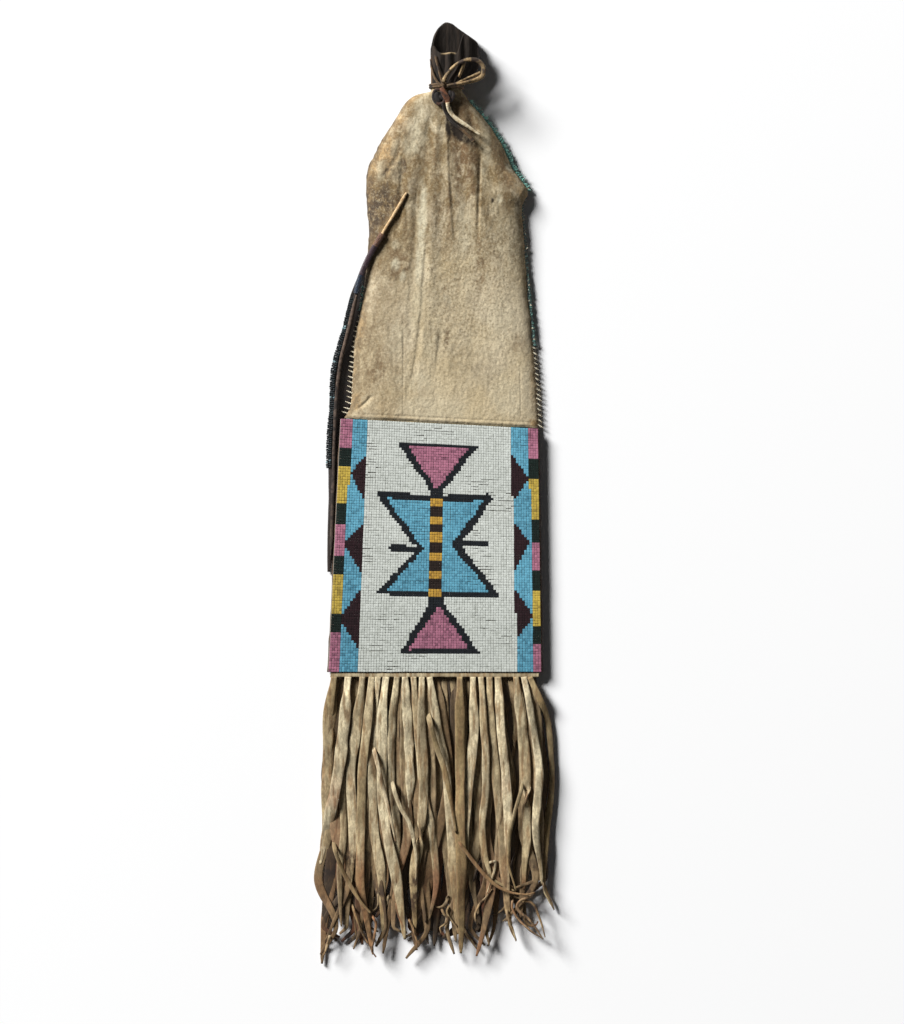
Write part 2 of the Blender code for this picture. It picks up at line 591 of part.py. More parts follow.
def seam_line(rings, side):
    """Points of a side seam, from the hem up."""
    index = 0 if side < 0 else FRONT_POINTS - 1
    return np.array([ring[index] for ring in rings])


def edge_beads(name, rings, side, run, colour):
    """Slanting stitches that stand out from the seam, then a row of beads along it."""
    low, high, stitches_end = run
    seam = seam_line(rings, side)
    hem = seam[0, 1]
    points, radii = [], []
    count = round((stitches_end - low) / STITCH_PITCH)
    for k in range(2 * count):
        out = SEAM_STITCH if k % 2 else 0.0
        points.append((low + k * STITCH_PITCH / 2, out))
        radii.append(1.0)
    beads = round((high - stitches_end) / (STITCH_PITCH / 2))
    for k in range(beads):
        points.append((stitches_end + k * STITCH_PITCH / 2, 0.0))
        radii.append(1.0 if k % 2 else 0.65)
    places = []
    for up, out in points:
        x = np.interp(hem + up, seam[:, 1], seam[:, 0])
        z = np.interp(hem + up, seam[:, 1], seam[:, 2])
        places.append((x + side * (2 * GAP + SEAM_BEAD + out), hem + up, z))
    tube(name, places, SEAM_BEAD, colour, radii, resolution=0)


# Thongs that rest on the hide

def ground(x, y):
    """The height of what lies under a point: the upper hide, its edge beads or the floor."""
    slope = PANEL_TOP_DROP / (COLUMNS * BEAD_WIDTH - PANEL_NARROWING)
    t = up = (y - panel_top(PANEL_LEAN) - GAP) / HIDE_LENGTH
    for _ in range(4):
        t = up + slope * max(1 - t, 0) ** 1.5 * (x - PANEL_LEAN) / HIDE_LENGTH
    if not 0 <= t <= 1:
        return 0.0
    front = hide_ring(t)[:FRONT_POINTS]
    beyond = max(front[0, 0] - x, x - front[-1, 0])
    if beyond > 0:
        return SEAM_HEIGHT + SEAM_BEAD if beyond < SEAM_STITCH + 3 * SEAM_BEAD else 0.0
    return float(np.interp(x, front[:, 0], front[:, 2]))


def draped(route, half_width):
    """Heights under a thong along its route, lifted smoothly over every edge."""
    places = np.linspace(0, len(route) - 1, 10 * len(route))
    x, y = (np.interp(places, range(len(route)), route[:, i]) for i in (0, 1))
    under = np.array([max(ground(a + side, b) for side in (-half_width, 0, half_width))
                      for a, b in zip(x, y)])
    run = np.concatenate([[0], np.cumsum(np.hypot(np.diff(x), np.diff(y)))])
    near = np.abs(run[:, None] - run) <= DRAPE_REACH
    peaks = np.where(near, under, 0).max(axis=1)
    level = (near * peaks).sum(axis=1) / near.sum(axis=1)
    return np.interp(range(len(route)), places, level)


# Tie

def beside_tie(places):
    """The places of a list that gives y over the tie, as y over the panel's lower edge."""
    places = np.array(places, float)
    places[..., 1] += tie_y()
    return places


def make_tail(name, route, radius, colour):
    route = beside_tie(route)
    lift = TAIL_LIFT * (1 - ease(np.arange(len(route)) / 3))
    height = draped(route, radius) + GAP + radius + lift
    tube(name, np.column_stack([route, height]), radius, colour)


def make_tie():
    """Two turns of thong round the neck, as one ring that follows the neck's oval."""
    wide = (NECK_RIGHT - NECK_LEFT) / 2 + GAP
    deep = NECK_DEPTH / 2 + GAP
    middle = (NECK_LEFT + NECK_RIGHT) / 2
    profile = ((0, -1), (0.75, -0.92), (1, -0.5), (0.68, 0), (1, 0.5), (0.75, 0.92), (0, 1))
    rings = []
    for turn in np.linspace(0, 2 * math.pi, 28, endpoint=False):
        rings.append([(middle + (wide + out * THONG_THICKNESS) * math.cos(turn),
                       tie_y() + along * THONG_WIDTH,
                       NECK_HEIGHT + (deep + out * THONG_THICKNESS) * math.sin(turn))
                      for out, along in profile])
    add_piece("tie_wrap", loft("tie_wrap", rings, loop=True), THONG)
    bm = bmesh.new()
    bmesh.ops.create_uvsphere(bm, u_segments=12, v_segments=7, radius=0.5)
    add_piece("tie_knot", mesh_from(bm, "tie_knot"), THONG)
    knot = bpy.data.objects["tie_knot"]
    x, y = beside_tie(KNOT)
    under = max(ground(x + side * KNOT_SIZE[0] / 4, y + up * KNOT_SIZE[1] / 4)
                for side in (-1, 0, 1) for up in (-1, 0, 1))
    place = Vector((x, y, under + GAP + KNOT_SIZE[2] / 2))
    knot.data.transform(Matrix.LocRotScale(place, None, Vector(KNOT_SIZE)))
    tube("tie_bow", beside_tie(BOW), BOW_RADIUS, THONG)
    make_tail("tie_tail_long", LONG_TAIL, LONG_TAIL_RADIUS, CREAM)
    make_tail("tie_tail_short", SHORT_TAIL, SHORT_TAIL_RADIUS, THONG)


# Pendant

def around(route, widths, heights, sides=8):
    """Rings of an oval section, square to a route and level across."""
    route = np.asarray(route, float)
    ahead = np.gradient(route, axis=0)
    ahead /= np.linalg.norm(ahead, axis=1)[:, None]
    across = np.cross(ahead, (0, 0, 1))
    across /= np.linalg.norm(across, axis=1)[:, None]
    up = np.cross(across, ahead)
    angles = 2 * math.pi * (np.arange(sides) + 0.5) / sides
    corner = 1 / math.cos(math.pi / sides)
    rings = []
    for k, middle in enumerate(route):
        rings.append([middle + corner * (across[k] * widths[k] / 2 * math.cos(a)
                                         + up[k] * heights[k] / 2 * math.sin(a)) for a in angles])
    return rings


def make_pendant():
    """A thong that widens to a strap, with beads wound round it and sewn along its edge."""
    route = np.array(PENDANT)
    count = np.arange(len(route))
    first, last = WRAP_RUN
    wrapped = ease((count - first + 2) / 2) * ease((last + 2 - count) / 2)
    half = PENDANT_THICKNESS / 2 + (WRAP_RADIUS - PENDANT_THICKNESS / 2) * wrapped
    height = draped(route, route[:, 2].max() / 2) + GAP + half
    line = np.column_stack([route[:, :2], height])
    thick = np.full(len(route), PENDANT_THICKNESS)
    add_piece("pendant_thong", loft("pendant_thong", around(line, route[:, 2], thick)), STRAP_BROWN)

    steps = np.linspace(first, last, 2 * WRAP_RINGS + 1)
    along = np.column_stack([np.interp(steps, count, line[:, i]) for i in range(3)])
    thong = np.interp(steps, count, route[:, 2])
    bulge = 2 * WRAP_RADIUS * np.where(np.arange(len(steps)) % 2, 1.0, 0.84)
    outside = around(along, bulge, bulge)
    inside = around(along, thong + 4 * GAP, 0 * thong + PENDANT_THICKNESS + 4 * GAP)
    add_piece("pendant_bead_wrap", loft("pendant_bead_wrap", outside + inside[::-1], loop=True), WRAP_MAROON)

    steps = np.arange(EDGING_RUN[0], EDGING_RUN[1] + 0.01, 0.3)
    along = np.column_stack([np.interp(steps, count, line[:, i]) for i in range(3)])
    ahead = np.gradient(along[:, :2], axis=0)
    ahead /= np.linalg.norm(ahead, axis=1)[:, None]
    aside = np.interp(steps, count, route[:, 2]) / 2 + 3 * GAP + EDGING_RADIUS
    along[:, 0] += ahead[:, 1] * aside
    along[:, 1] -= ahead[:, 0] * aside
    tube("pendant_edge_beads", along, EDGING_RADIUS, GREEN_BLACK,
         [1.0 if k % 2 else 0.7 for k in range(len(steps))], resolution=0)


# Fringe

def strip_line(strip, depths):
    """The x of a strip's middle at depths below its root."""
    _, tip, xs = strip
    knots = [k * STATION_STEP for k in range(len(xs) - 1)] + [tip * STRIP_UNIT]
    return smooth(knots, np.array(xs) * STRIP_UNIT, depths)


def crosses(one, two):
    """Whether two strips of a layer pass over each other."""
    depths = np.linspace(STRIP_SETTLE, min(one[1], two[1]) * STRIP_UNIT, 40)
    apart = np.abs(strip_line(one, depths) - strip_line(two, depths))
    return apart.min() < (one[0] + two[0]) / 2 * STRIP_UNIT + 2 * GAP


def stack(strips):
    """The layer of each strip: the lowest that no earlier strip under it takes."""
    layers = []
    for k, strip in enumerate(strips):
        taken = {layers[j] for j in range(k) if crosses(strips[j], strip)}
        layers.append(min(set(range(len(strips))) - taken))
    return layers


def fringe_comb(name, strips, band_height, lowest, colour):
    """One layer: an uncut band, and strips that hang from it down to their tips."""
    layers = stack(strips)
    order = sorted(range(len(strips)), key=lambda k: strips[k][2][0])
    bm = bmesh.new()
    cuts = [BAND_ENDS[0]]
    for k in order:
        root = strips[k][2][0] * STRIP_UNIT
        cuts += [root - ROOT_WIDTH / 2, root + ROOT_WIDTH / 2]
    cuts.append(BAND_ENDS[1])
    top = [bm.verts.new((x, -GAP, band_height)) for x in cuts]
    low = [bm.verts.new((x, -BAND_DEPTH, band_height)) for x in cuts]
    for i in range(len(cuts) - 1):
        bm.faces.new((low[i], low[i + 1], top[i + 1], top[i]))
    for place, k in enumerate(order):
        width, tip, _ = strips[k]
        share = np.linspace(0, 1, STRIP_PIECES + 1)[1:] ** 0.9
        depths = share * tip * STRIP_UNIT
        x = strip_line(strips[k], depths)
        y = -BAND_DEPTH - depths
        level = lowest + layers[k] * LAYER_STEP
        z = band_height + (level - band_height) * ease(depths / STRIP_SETTLE)
        ahead = np.gradient(np.column_stack([np.append(strips[k][2][0] * STRIP_UNIT, x),
                                             np.append(-BAND_DEPTH, y)]), axis=0)[1:]
        ahead /= np.linalg.norm(ahead, axis=1)[:, None]
        grown = ROOT_WIDTH + (width * STRIP_UNIT - ROOT_WIDTH) * ease(share / 0.3)
        half = grown / 2 * (1 - 0.6 * ease((share - 0.7) / 0.3))
        row = (low[2 * place + 1], low[2 * place + 2])
        for i in range(len(share)):
            right = (x[i] - ahead[i, 1] * half[i], y[i] + ahead[i, 0] * half[i], z[i])
            left = (x[i] + ahead[i, 1] * half[i], y[i] - ahead[i, 0] * half[i], z[i])
            following = (bm.verts.new(left), bm.verts.new(right))
            bm.faces.new((following[0], following[1], row[1], row[0]))
            row = following
    piece = add_piece(name, mesh_from(bm, name), colour)
    wall = piece.modifiers.new("hide", "SOLIDIFY")
    wall.thickness = FRINGE_THICKNESS
    wall.offset = 0
    return lowest + (max(layers) + 1) * LAYER_STEP


def make_fringe():
    above = fringe_comb("fringe_back", BACK_STRIPS, BACK_BAND_HEIGHT, LOWEST_STRIP, "#7B6849")
    fringe_comb("fringe_front", FRONT_STRIPS, FRONT_BAND_HEIGHT, above, "#A89473")


# The bag

def stand_on_origin():
    """Move the bag so that the origin is under the middle of its box, the free thongs apart."""
    free = {"tie_bow", "tie_tail_long", "tie_tail_short"}
    bpy.context.view_layer.update()
    view = bpy.context.evaluated_depsgraph_get()
    corners = []
    for piece in bag.objects:
        if piece.type == "EMPTY" or piece.name in free or piece.name.startswith("pendant"):
            continue
        mesh = piece.evaluated_get(view).to_mesh()
        corners += [vertex.co.copy() for vertex in mesh.vertices]
    low, high = np.min(corners, axis=0), np.max(corners, axis=0)
    bag_origin.location = (-(low[0] + high[0]) / 2, -(low[1] + high[1]) / 2, -low[2])


for old in list(bpy.data.objects):
    bpy.data.objects.remove(old)

bag = bpy.data.collections.new("pipe_bag")
bpy.context.scene.collection.children.link(bag)
bag_origin = bpy.data.objects.new("bag_origin", None)
bag.objects.link(bag_origin)

make_panel()
make_beadwork()
make_hides()
hide = hide_rings()
edge_beads("left_edge_beads", hide, -1, LEFT_BEADS, CREAM)
edge_beads("right_lower_edge_beads", hide, 1, RIGHT_LOWER_BEADS, CREAM)
edge_beads("right_upper_edge_beads", hide, 1, RIGHT_UPPER_BEADS, CREAM)
make_tie()
make_pendant()
make_fringe()
stand_on_origin()
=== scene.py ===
import bpy
import numpy as np
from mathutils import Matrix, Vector


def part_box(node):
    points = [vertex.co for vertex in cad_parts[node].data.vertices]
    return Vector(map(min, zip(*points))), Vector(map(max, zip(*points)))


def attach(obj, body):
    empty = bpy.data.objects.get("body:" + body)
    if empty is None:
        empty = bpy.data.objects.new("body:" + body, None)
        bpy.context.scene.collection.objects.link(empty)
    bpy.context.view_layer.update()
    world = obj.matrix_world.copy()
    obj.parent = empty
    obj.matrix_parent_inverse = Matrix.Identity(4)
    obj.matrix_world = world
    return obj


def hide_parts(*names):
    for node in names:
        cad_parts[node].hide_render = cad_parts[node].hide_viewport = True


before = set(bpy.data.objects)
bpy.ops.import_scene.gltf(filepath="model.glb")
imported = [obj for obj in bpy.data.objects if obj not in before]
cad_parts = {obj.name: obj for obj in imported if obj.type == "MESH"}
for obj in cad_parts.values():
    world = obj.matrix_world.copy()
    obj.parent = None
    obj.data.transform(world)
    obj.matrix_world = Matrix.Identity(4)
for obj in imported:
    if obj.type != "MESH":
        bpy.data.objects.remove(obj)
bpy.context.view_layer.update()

tieMiddle = (0.0092, 0.46817)          # the tie, from the middle of the panel's lower edge
tieLow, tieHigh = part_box("tie_wrap")
bagShift = (np.array(tieLow) + np.array(tieHigh)) / 2 - (*tieMiddle, 0.0)
bagShift[2] = 0.0                      # the bag lies on the floor already
photoScale = 0.0008                    # metres to a pixel of the photo
photoZero = (435.0, 672.0)             # the pixel at the middle of the panel's lower edge
neckShape = dict(left=-0.0032, right=0.0216, height=0.0112, depth=0.0160)  # under the tie


def toLinear(hexColour):
    # sRGB to linear: c / 12.92 up to 0.04045, and ((c + 0.055) / 1.055) ** 2.4 above it
    parts = np.array([int(hexColour[i:i + 2], 16) / 255 for i in (1, 3, 5)])
    return (*np.where(parts <= 0.04045, parts / 12.92, ((parts + 0.055) / 1.055) ** 2.4).tolist(), 1.0)


def ease(u):
    # 3u^2 - 2u^3 from 0 to 1, and level on both sides
    u = np.clip(u, 0, 1)
    return u * u * (3 - 2 * u)


def through(knots, values, at):
    # cubic through the values; the slope at a knot is the harmonic mean of the slopes on its two sides
    knots, values = np.asarray(knots, float), np.asarray(values, float)
    steps = np.diff(values) / np.diff(knots)
    before, after = steps[:-1], steps[1:]
    total = np.where(before * after > 0, before + after, 1.0)
    inner = np.where(before * after > 0, 2 * before * after / total, 0.0)
    slopes = np.concatenate([steps[:1], inner, steps[-1:]])
    i = np.clip(np.searchsorted(knots, at) - 1, 0, len(knots) - 2)
    run = knots[i + 1] - knots[i]
    u = np.clip((at - knots[i]) / run, 0, 1)
    return ((1 + 2 * u) * (1 - u) ** 2 * values[i] + u * (1 - u) ** 2 * run * slopes[i]
            + u * u * (3 - 2 * u) * values[i + 1] + u * u * (u - 1) * run * slopes[i + 1])


def softNoise(a, b, seed):
    # a seeded lattice of heights from -1 to 1, eased from each lattice point to the next along a and b
    cells = 64
    lattice = np.random.default_rng(seed).uniform(-1, 1, (cells, cells))
    a, b = np.broadcast_arrays(a, b)
    i, j = np.floor(a).astype(int), np.floor(b).astype(int)
    u, v = ease(a - i), ease(b - j)
    near, far, low, high = i % cells, (i + 1) % cells, j % cells, (j + 1) % cells
    lower = lattice[near, low] * (1 - u) + lattice[far, low] * u
    upper = lattice[near, high] * (1 - u) + lattice[far, high] * u
    return lower * (1 - v) + upper * v


def clouds(a, b, seed):
    # four layers of soft noise, each half as high and twice as fine as the one before
    heights = 0.5 ** np.arange(4)
    return sum(softNoise(a / h, b / h, seed + k) * h for k, h in enumerate(heights)) / heights.sum()


def fromPhoto(places):
    # pixels of the photo to metres from the panel's lower edge; a third value is a height and stays
    places = np.array(places, float)
    places[..., 0] = (places[..., 0] - photoZero[0]) * photoScale
    places[..., 1] = (photoZero[1] - places[..., 1]) * photoScale
    return places


def pixelOf(x, y):
    # metres from the panel's lower edge back to pixels of the photo
    return photoZero[0] + x / photoScale, photoZero[1] - y / photoScale


def unit(ways):
    # the same directions, each at a length of 1
    return ways / np.linalg.norm(ways, axis=-1, keepdims=True)


def runAlong(line):
    # how far along the line each of its points lies
    return np.concatenate([[0], np.cumsum(np.linalg.norm(np.diff(line, axis=0), axis=1))])


def evenly(route, count):
    # the route as a smooth line of count points, the same distance apart along it
    route = np.asarray(route, float)
    run = runAlong(route)
    at = np.linspace(0, run[-1], count)
    return np.column_stack([through(run, route[:, i], at) for i in range(route.shape[1])])


def setInputs(tree, node, inputs):
    # an input gets its value, a colour from its hex, or a link from a socket or a node's first live output
    for key, value in dict(inputs).items():
        if isinstance(value, str):
            value = toLinear(value)
        if isinstance(value, bpy.types.Node):
            value = next(out for out in value.outputs if out.enabled)
        if isinstance(value, bpy.types.NodeSocket):
            tree.links.new(value, node.inputs[key])
        else:
            node.inputs[key].default_value = value


def addNode(tree, kind, inputs=(), **settings):
    # a shader node with its settings and inputs: in a Mix of colours 0 is the share, and 6 and 7 the colours;
    # in a Map Range 0 is the value, 1 and 2 its range, and 3 and 4 what that range becomes
    node = tree.nodes.new("ShaderNode" + kind)
    for key, value in settings.items():
        setattr(node, key, value)
    setInputs(tree, node, inputs)
    return node


def newFinish(name, roughness, specular=0.5, sheen=0.0):
    # a named material and its tree and shader
    made = bpy.data.materials.new(name)
    made.use_nodes = True
    shader = made.node_tree.nodes["Principled BSDF"]
    inputs = {"Roughness": roughness, "Specular IOR Level": specular, "Sheen Weight": sheen}
    setInputs(made.node_tree, shader, inputs)
    return made, made.node_tree, shader


def perMm(size):
    # texture scale of a pattern whose marks are size millimetres apart
    return 1000.0 / size


def oval(count, square=2.0):
    # cosine and sine of count angles round, to the power 2/square: a circle at 2, and boxier above it
    angle = 2 * np.pi * (np.arange(count) + 0.5) / count
    return [np.sign(wave) * np.abs(wave) ** (2 / square) for wave in (np.cos(angle), np.sin(angle))]


def carried(path, wide, thick, turn=0.0, around=12, square=2.0):
    # oval rings along paths: middle + across * wide/2 * c + over * thick/2 * s, with c and s from oval;
    # turn rolls the oval about the path
    ahead = unit(np.gradient(path, axis=-2))
    across = unit(np.cross(ahead, (0.0, 0.0, 1.0)))
    over = np.cross(across, ahead)
    turn = np.broadcast_to(turn, path.shape[:-1])[..., None]
    across, over = across * np.cos(turn) + over * np.sin(turn), over * np.cos(turn) - across * np.sin(turn)
    c, s = oval(around, square)
    wide = np.broadcast_to(wide, path.shape[:-1])[..., None, None] / 2
    thick = np.broadcast_to(thick, path.shape[:-1])[..., None, None] / 2
    across, over = across[..., None, :] * wide, over[..., None, :] * thick
    return path[..., None, :] + across * c[:, None] + over * s[:, None]


def spreadOver(batch, values):
    # a value for every point of a batch: one for all, one a shape (or a ring of a lone shape) or one a point
    values = np.asarray(values, float)
    if values.ndim == 1:
        values = values[None, :, None] if len(batch) == 1 else values[:, None, None]
    return np.broadcast_to(values, batch.shape[:3]).ravel()


def closedSkins(name, batches, finish, standsFor=(), marks=None, rounded=True):
    # a batch holds shapes x rings x points round x xyz, or one shape's rings; quads join neighbouring rings,
    # and a face closes each end
    batches = [batch[None] if batch.ndim == 3 else batch for batch in batches]
    corners, cornerOf, sizes, smooth = [], [], [], []
    start = 0
    for batch in batches:
        batch = batch + bagShift
        shapes, rings, around = batch.shape[:3]
        index = start + np.arange(shapes * rings * around).reshape(shapes, rings, around)
        beside = np.roll(index, -1, axis=2)
        quads = np.stack([index[:, :-1], beside[:, :-1], beside[:, 1:], index[:, 1:]], axis=-1)
        ends = np.stack([index[:, 0, ::-1], index[:, -1]], axis=1)
        # a shape whose quads enclose a volume below nothing is inside out, so its faces are turned
        flat = (batch - batch.mean(axis=(1, 2), keepdims=True)).reshape(-1, 3)
        a, b, c, d = (flat[quads[..., i] - start] for i in range(4))
        volume = np.einsum("...i,...i", a, np.cross(b, c)) + np.einsum("...i,...i", a, np.cross(c, d))
        inward = volume.sum(axis=(1, 2)) < 0
        quads[inward] = quads[inward][..., ::-1]
        ends[inward] = ends[inward][..., ::-1]
        corners.append(batch.reshape(-1, 3))
        cornerOf += [quads.ravel(), ends.ravel()]
        sizes += [np.full(quads.size // 4, 4), np.full(ends.size // around, around)]
        smooth += [np.full(quads.size // 4, rounded), np.zeros(ends.size // around, bool)]
        start += batch.size // 3
    corners, cornerOf, sizes = np.concatenate(corners), np.concatenate(cornerOf), np.concatenate(sizes)
    mesh = bpy.data.meshes.new(name)
    mesh.vertices.add(len(corners))
    mesh.vertices.foreach_set("co", corners.astype(np.float32).ravel())
    mesh.loops.add(len(cornerOf))
    mesh.loops.foreach_set("vertex_index", cornerOf.astype(np.int32))
    mesh.polygons.add(len(sizes))
    mesh.polygons.foreach_set("loop_start", (np.cumsum(sizes) - sizes).astype(np.int32))
    mesh.polygons.foreach_set("use_smooth", np.concatenate(smooth))
    mesh.update(calc_edges=True)
    for mark, values in (marks or {}).items():
        spread = np.concatenate([spreadOver(batch, each) for batch, each in zip(batches, values)])
        mesh.attributes.new(mark, "FLOAT", "POINT").data.foreach_set("value", spread.astype(np.float32))
    mesh.materials.append(finish)
    piece = bpy.data.objects.new(name, mesh)
    bpy.context.scene.collection.objects.link(piece)
    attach(piece, "root")
    if standsFor:
        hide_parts(*standsFor)
    return piece


# Camera and light

studio = dict(
    cameraAim=(0.0136, 0.128, 0.008),  # the middle of the photo, on the bag's middle height
    frameHeight=1024 * photoScale,
    lens=150.0, film=36.0,             # millimetres, for a nearly parallel view
    nearest=0.1, farthest=20.0,        # how far from the camera things show
    keyFrom=(-0.684, 0.595, 0.423),    # the way to the lamp: low from the upper left
    keyDistance=24.0, keySize=7.6, keyShare=1.0,
    skyColour="#F4F6FA", skyShare=0.03,
    floorColour="#FFFFFF", floorReach=4.0, floorLevel=-0.0003,
)


def makeCamera(scene, aim):
    lens = bpy.data.cameras.new("photoCamera")
    lens.lens, lens.sensor_width = studio["lens"], studio["film"]
    lens.clip_start, lens.clip_end = studio["nearest"], studio["farthest"]
    camera = bpy.data.objects.new("photoCamera", lens)
    camera.location = (aim[0], aim[1], aim[2] + studio["frameHeight"] * studio["lens"] / studio["film"])
    scene.collection.objects.link(camera)
    scene.camera = camera


def makeLight(scene, aim):
    way = unit(np.array(studio["keyFrom"]))
    key = bpy.data.lights.new("softKey", "AREA")
    key.shape, key.size = "SQUARE", studio["keySize"]
    # a lamp of power P at distance d lights a level surface by P cos / (pi d^2), and pi is full light
    key.energy = studio["keyShare"] * np.pi ** 2 * studio["keyDistance"] ** 2 / way[2]
    lamp = bpy.data.objects.new("softKey", key)
    lamp.location = aim + way * studio["keyDistance"]
    lamp.rotation_mode = "QUATERNION"
    lamp.rotation_quaternion = Vector(way).to_track_quat("Z", "Y")
    scene.collection.objects.link(lamp)

    # the room is dim to the bag and white to the eye, in gloss and through glass
    world = bpy.data.worlds.new("paleRoom")
    world.use_nodes = True
    scene.world = world
    tree = world.node_tree
    tree.nodes.clear()
    rays = addNode(tree, "LightPath")
    seen = rays.outputs["Is Camera Ray"]
    for ray in ("Is Glossy Ray", "Is Transmission Ray"):
        seen = addNode(tree, "Math", {0: seen, 1: rays.outputs[ray]}, operation="MAXIMUM")
    room = addNode(tree, "Background", {"Color": studio["skyColour"], "Strength": studio["skyShare"]})
    white = addNode(tree, "Background", {"Color": (1, 1, 1, 1), "Strength": 1.0})
    addNode(tree, "OutputWorld", {"Surface": addNode(tree, "MixShader", {0: seen, 1: room, 2: white})})


def makeFloor(scene):
    reach, low = studio["floorReach"], studio["floorLevel"]
    floor = bpy.data.meshes.new("floor")
    corners = [(-reach, -reach, low), (reach, -reach, low), (reach, reach, low), (-reach, reach, low)]
    floor.from_pydata(corners, [], [(0, 1, 2, 3)])
    floor.update()
    # matt paper sweep: dull and even, so it only shows the bag's shadow
    paper, tree, shader = newFinish("mattPaper", 1.0, specular=0.0)
    setInputs(tree, shader, {"Base Color": studio["floorColour"]})
    floor.materials.append(paper)
    sweep = bpy.data.objects.new("floor", floor)
    scene.collection.objects.link(sweep)


def makeStudio():
    scene = bpy.context.scene
    scene.view_settings.view_transform = "Standard"
    aim = np.array(studio["cameraAim"]) + bagShift
    makeCamera(scene, aim)
    makeLight(scene, aim)
    makeFloor(scene)


makeStudio()
print("camera and light are up")


# Tie thongs: their routes are part.py's

tie = dict(
    thongRadius=0.0013, longRadius=0.0014, shortRadius=0.0012,
    loopLength=0.0792, longLength=0.038, shortLength=0.0413,
    knot=(0.0082, 0.4609, 0.0211),     # where the loop and the tails leave the knot
    bow=(
        (0.0064, 0.4704, 0.0233), (0.0084, 0.4744, 0.0237), (0.0112, 0.4788, 0.0240),
        (0.0156, 0.4832, 0.0241), (0.0208, 0.4864, 0.0240), (0.0260, 0.4882, 0.0238),
        (0.0312, 0.4883, 0.0234), (0.0360, 0.4860, 0.0229), (0.0388, 0.4816, 0.0225),
        (0.0384, 0.4768, 0.0225), (0.0348, 0.4732, 0.0228), (0.0288, 0.4710, 0.0232),
        (0.0216, 0.4694, 0.0234), (0.0144, 0.4682, 0.0234), (0.0096, 0.4672, 0.0233)),
    longTail=(
        (0.0101, 0.4542, 0.02282), (0.0106, 0.4512, 0.02217), (0.0118, 0.4478, 0.02097),
        (0.0142, 0.4443, 0.02034), (0.0176, 0.4411, 0.02028), (0.0224, 0.4379, 0.02019),
        (0.0272, 0.4347, 0.02003), (0.0316, 0.4317, 0.01979), (0.0360, 0.4288, 0.01964)),
    shortTail=(
        (0.0061, 0.4544, 0.02231), (0.0067, 0.4512, 0.02176), (0.0082, 0.4472, 0.02064),
        (0.0107, 0.4429, 0.02024), (0.0142, 0.4387, 0.02030), (0.0184, 0.4350, 0.02010),
        (0.0228, 0.4317, 0.01985), (0.0272, 0.4278, 0.01956), (0.0312, 0.4232, 0.01942)),
    # in pixels, with the height: a strand's route, width, points and age
    bowStrands=(
        (((463.8, 62.5, 0.0234), (463.4, 66.5, 0.0230), (462.2, 71, 0.0226), (460.6, 75, 0.0228),
          (459.0, 79, 0.0232)), 0.0030, 18, 0.1),
        (((480.5, 74.2, 0.0218), (474, 77.2, 0.0216), (466.5, 80.5, 0.0216), (459, 84, 0.0219),
          (452.5, 87, 0.0224)), 0.0023, 30, 0.3)),
    # two worn strands that slant over the left of the mouth down to the knot
    neckStrands=(
        ((431.0, 60, 0.0128), (431.6, 68, 0.0150), (433.5, 76, 0.0185), (438, 84, 0.0206),
         (444, 88.5, 0.0216)),
        ((435.5, 57, 0.0188), (437.5, 66, 0.0202), (439.5, 74, 0.0210), (441.5, 81, 0.0214),
         (444, 87.5, 0.0218))),
    # a flat reddish lap over dark loops: route, width, thickness and age
    knotStrands=(
        (((441.5, 89.5, 0.0221), (443, 93, 0.0227), (445.5, 97.5, 0.0229), (447.5, 102, 0.0225),
          (447.3, 105.2, 0.0217)), 0.0050, 0.0020, 0.0),
        (((441.0, 91.5, 0.0211), (437, 91.2, 0.0211), (434.2, 94.0, 0.0207), (433.6, 98.5, 0.0203),
          (435.5, 103.0, 0.0201), (439.5, 105.6, 0.0205), (443.5, 104.0, 0.0211), (445.0, 100.0, 0.0213)),
         0.003, 0.0024, 0.8),
        (((452.5, 92.5, 0.0205), (453.6, 96.5, 0.0209), (451.8, 101.0, 0.0207), (448.5, 103.5, 0.0209)),
         0.0028, 0.0022, 0.9),
        (((436.5, 96.0, 0.0199), (440.0, 98.0, 0.0202), (444.5, 99.5, 0.0205), (449.0, 98.5, 0.0205)),
         0.004, 0.0028, 1.0),
        (((437.2, 93.0, 0.0201), (437.0, 96.5, 0.0205), (437.6, 101.0, 0.0205), (439.6, 104.0, 0.0201)),
         0.005, 0.003, 1.0),
        (((450.5, 92.0, 0.0199), (450.6, 96.0, 0.0203), (449.0, 99.5, 0.0203), (446.5, 101.5, 0.0201)),
         0.0044, 0.0028, 1.0)),
    turnsApart=0.00118, turnWide=0.00105, turnTall=0.00112, turnPoints=96,
    # bright ridge, shade and grime of each thong
    tanThongHide=("#B39A70", "#735A3B", "#30241A"), creamThongHide=("#E4D8B8", "#BFA983", "#8C7350"),
    darkThongHide=("#7A4C32", "#523524", "#17110E"), wornThongHide=("#6E583B", "#4A3826", "#1C150F"),
    neckThongHide=("#735B3E", "#4C3927", "#1D1510"),
)


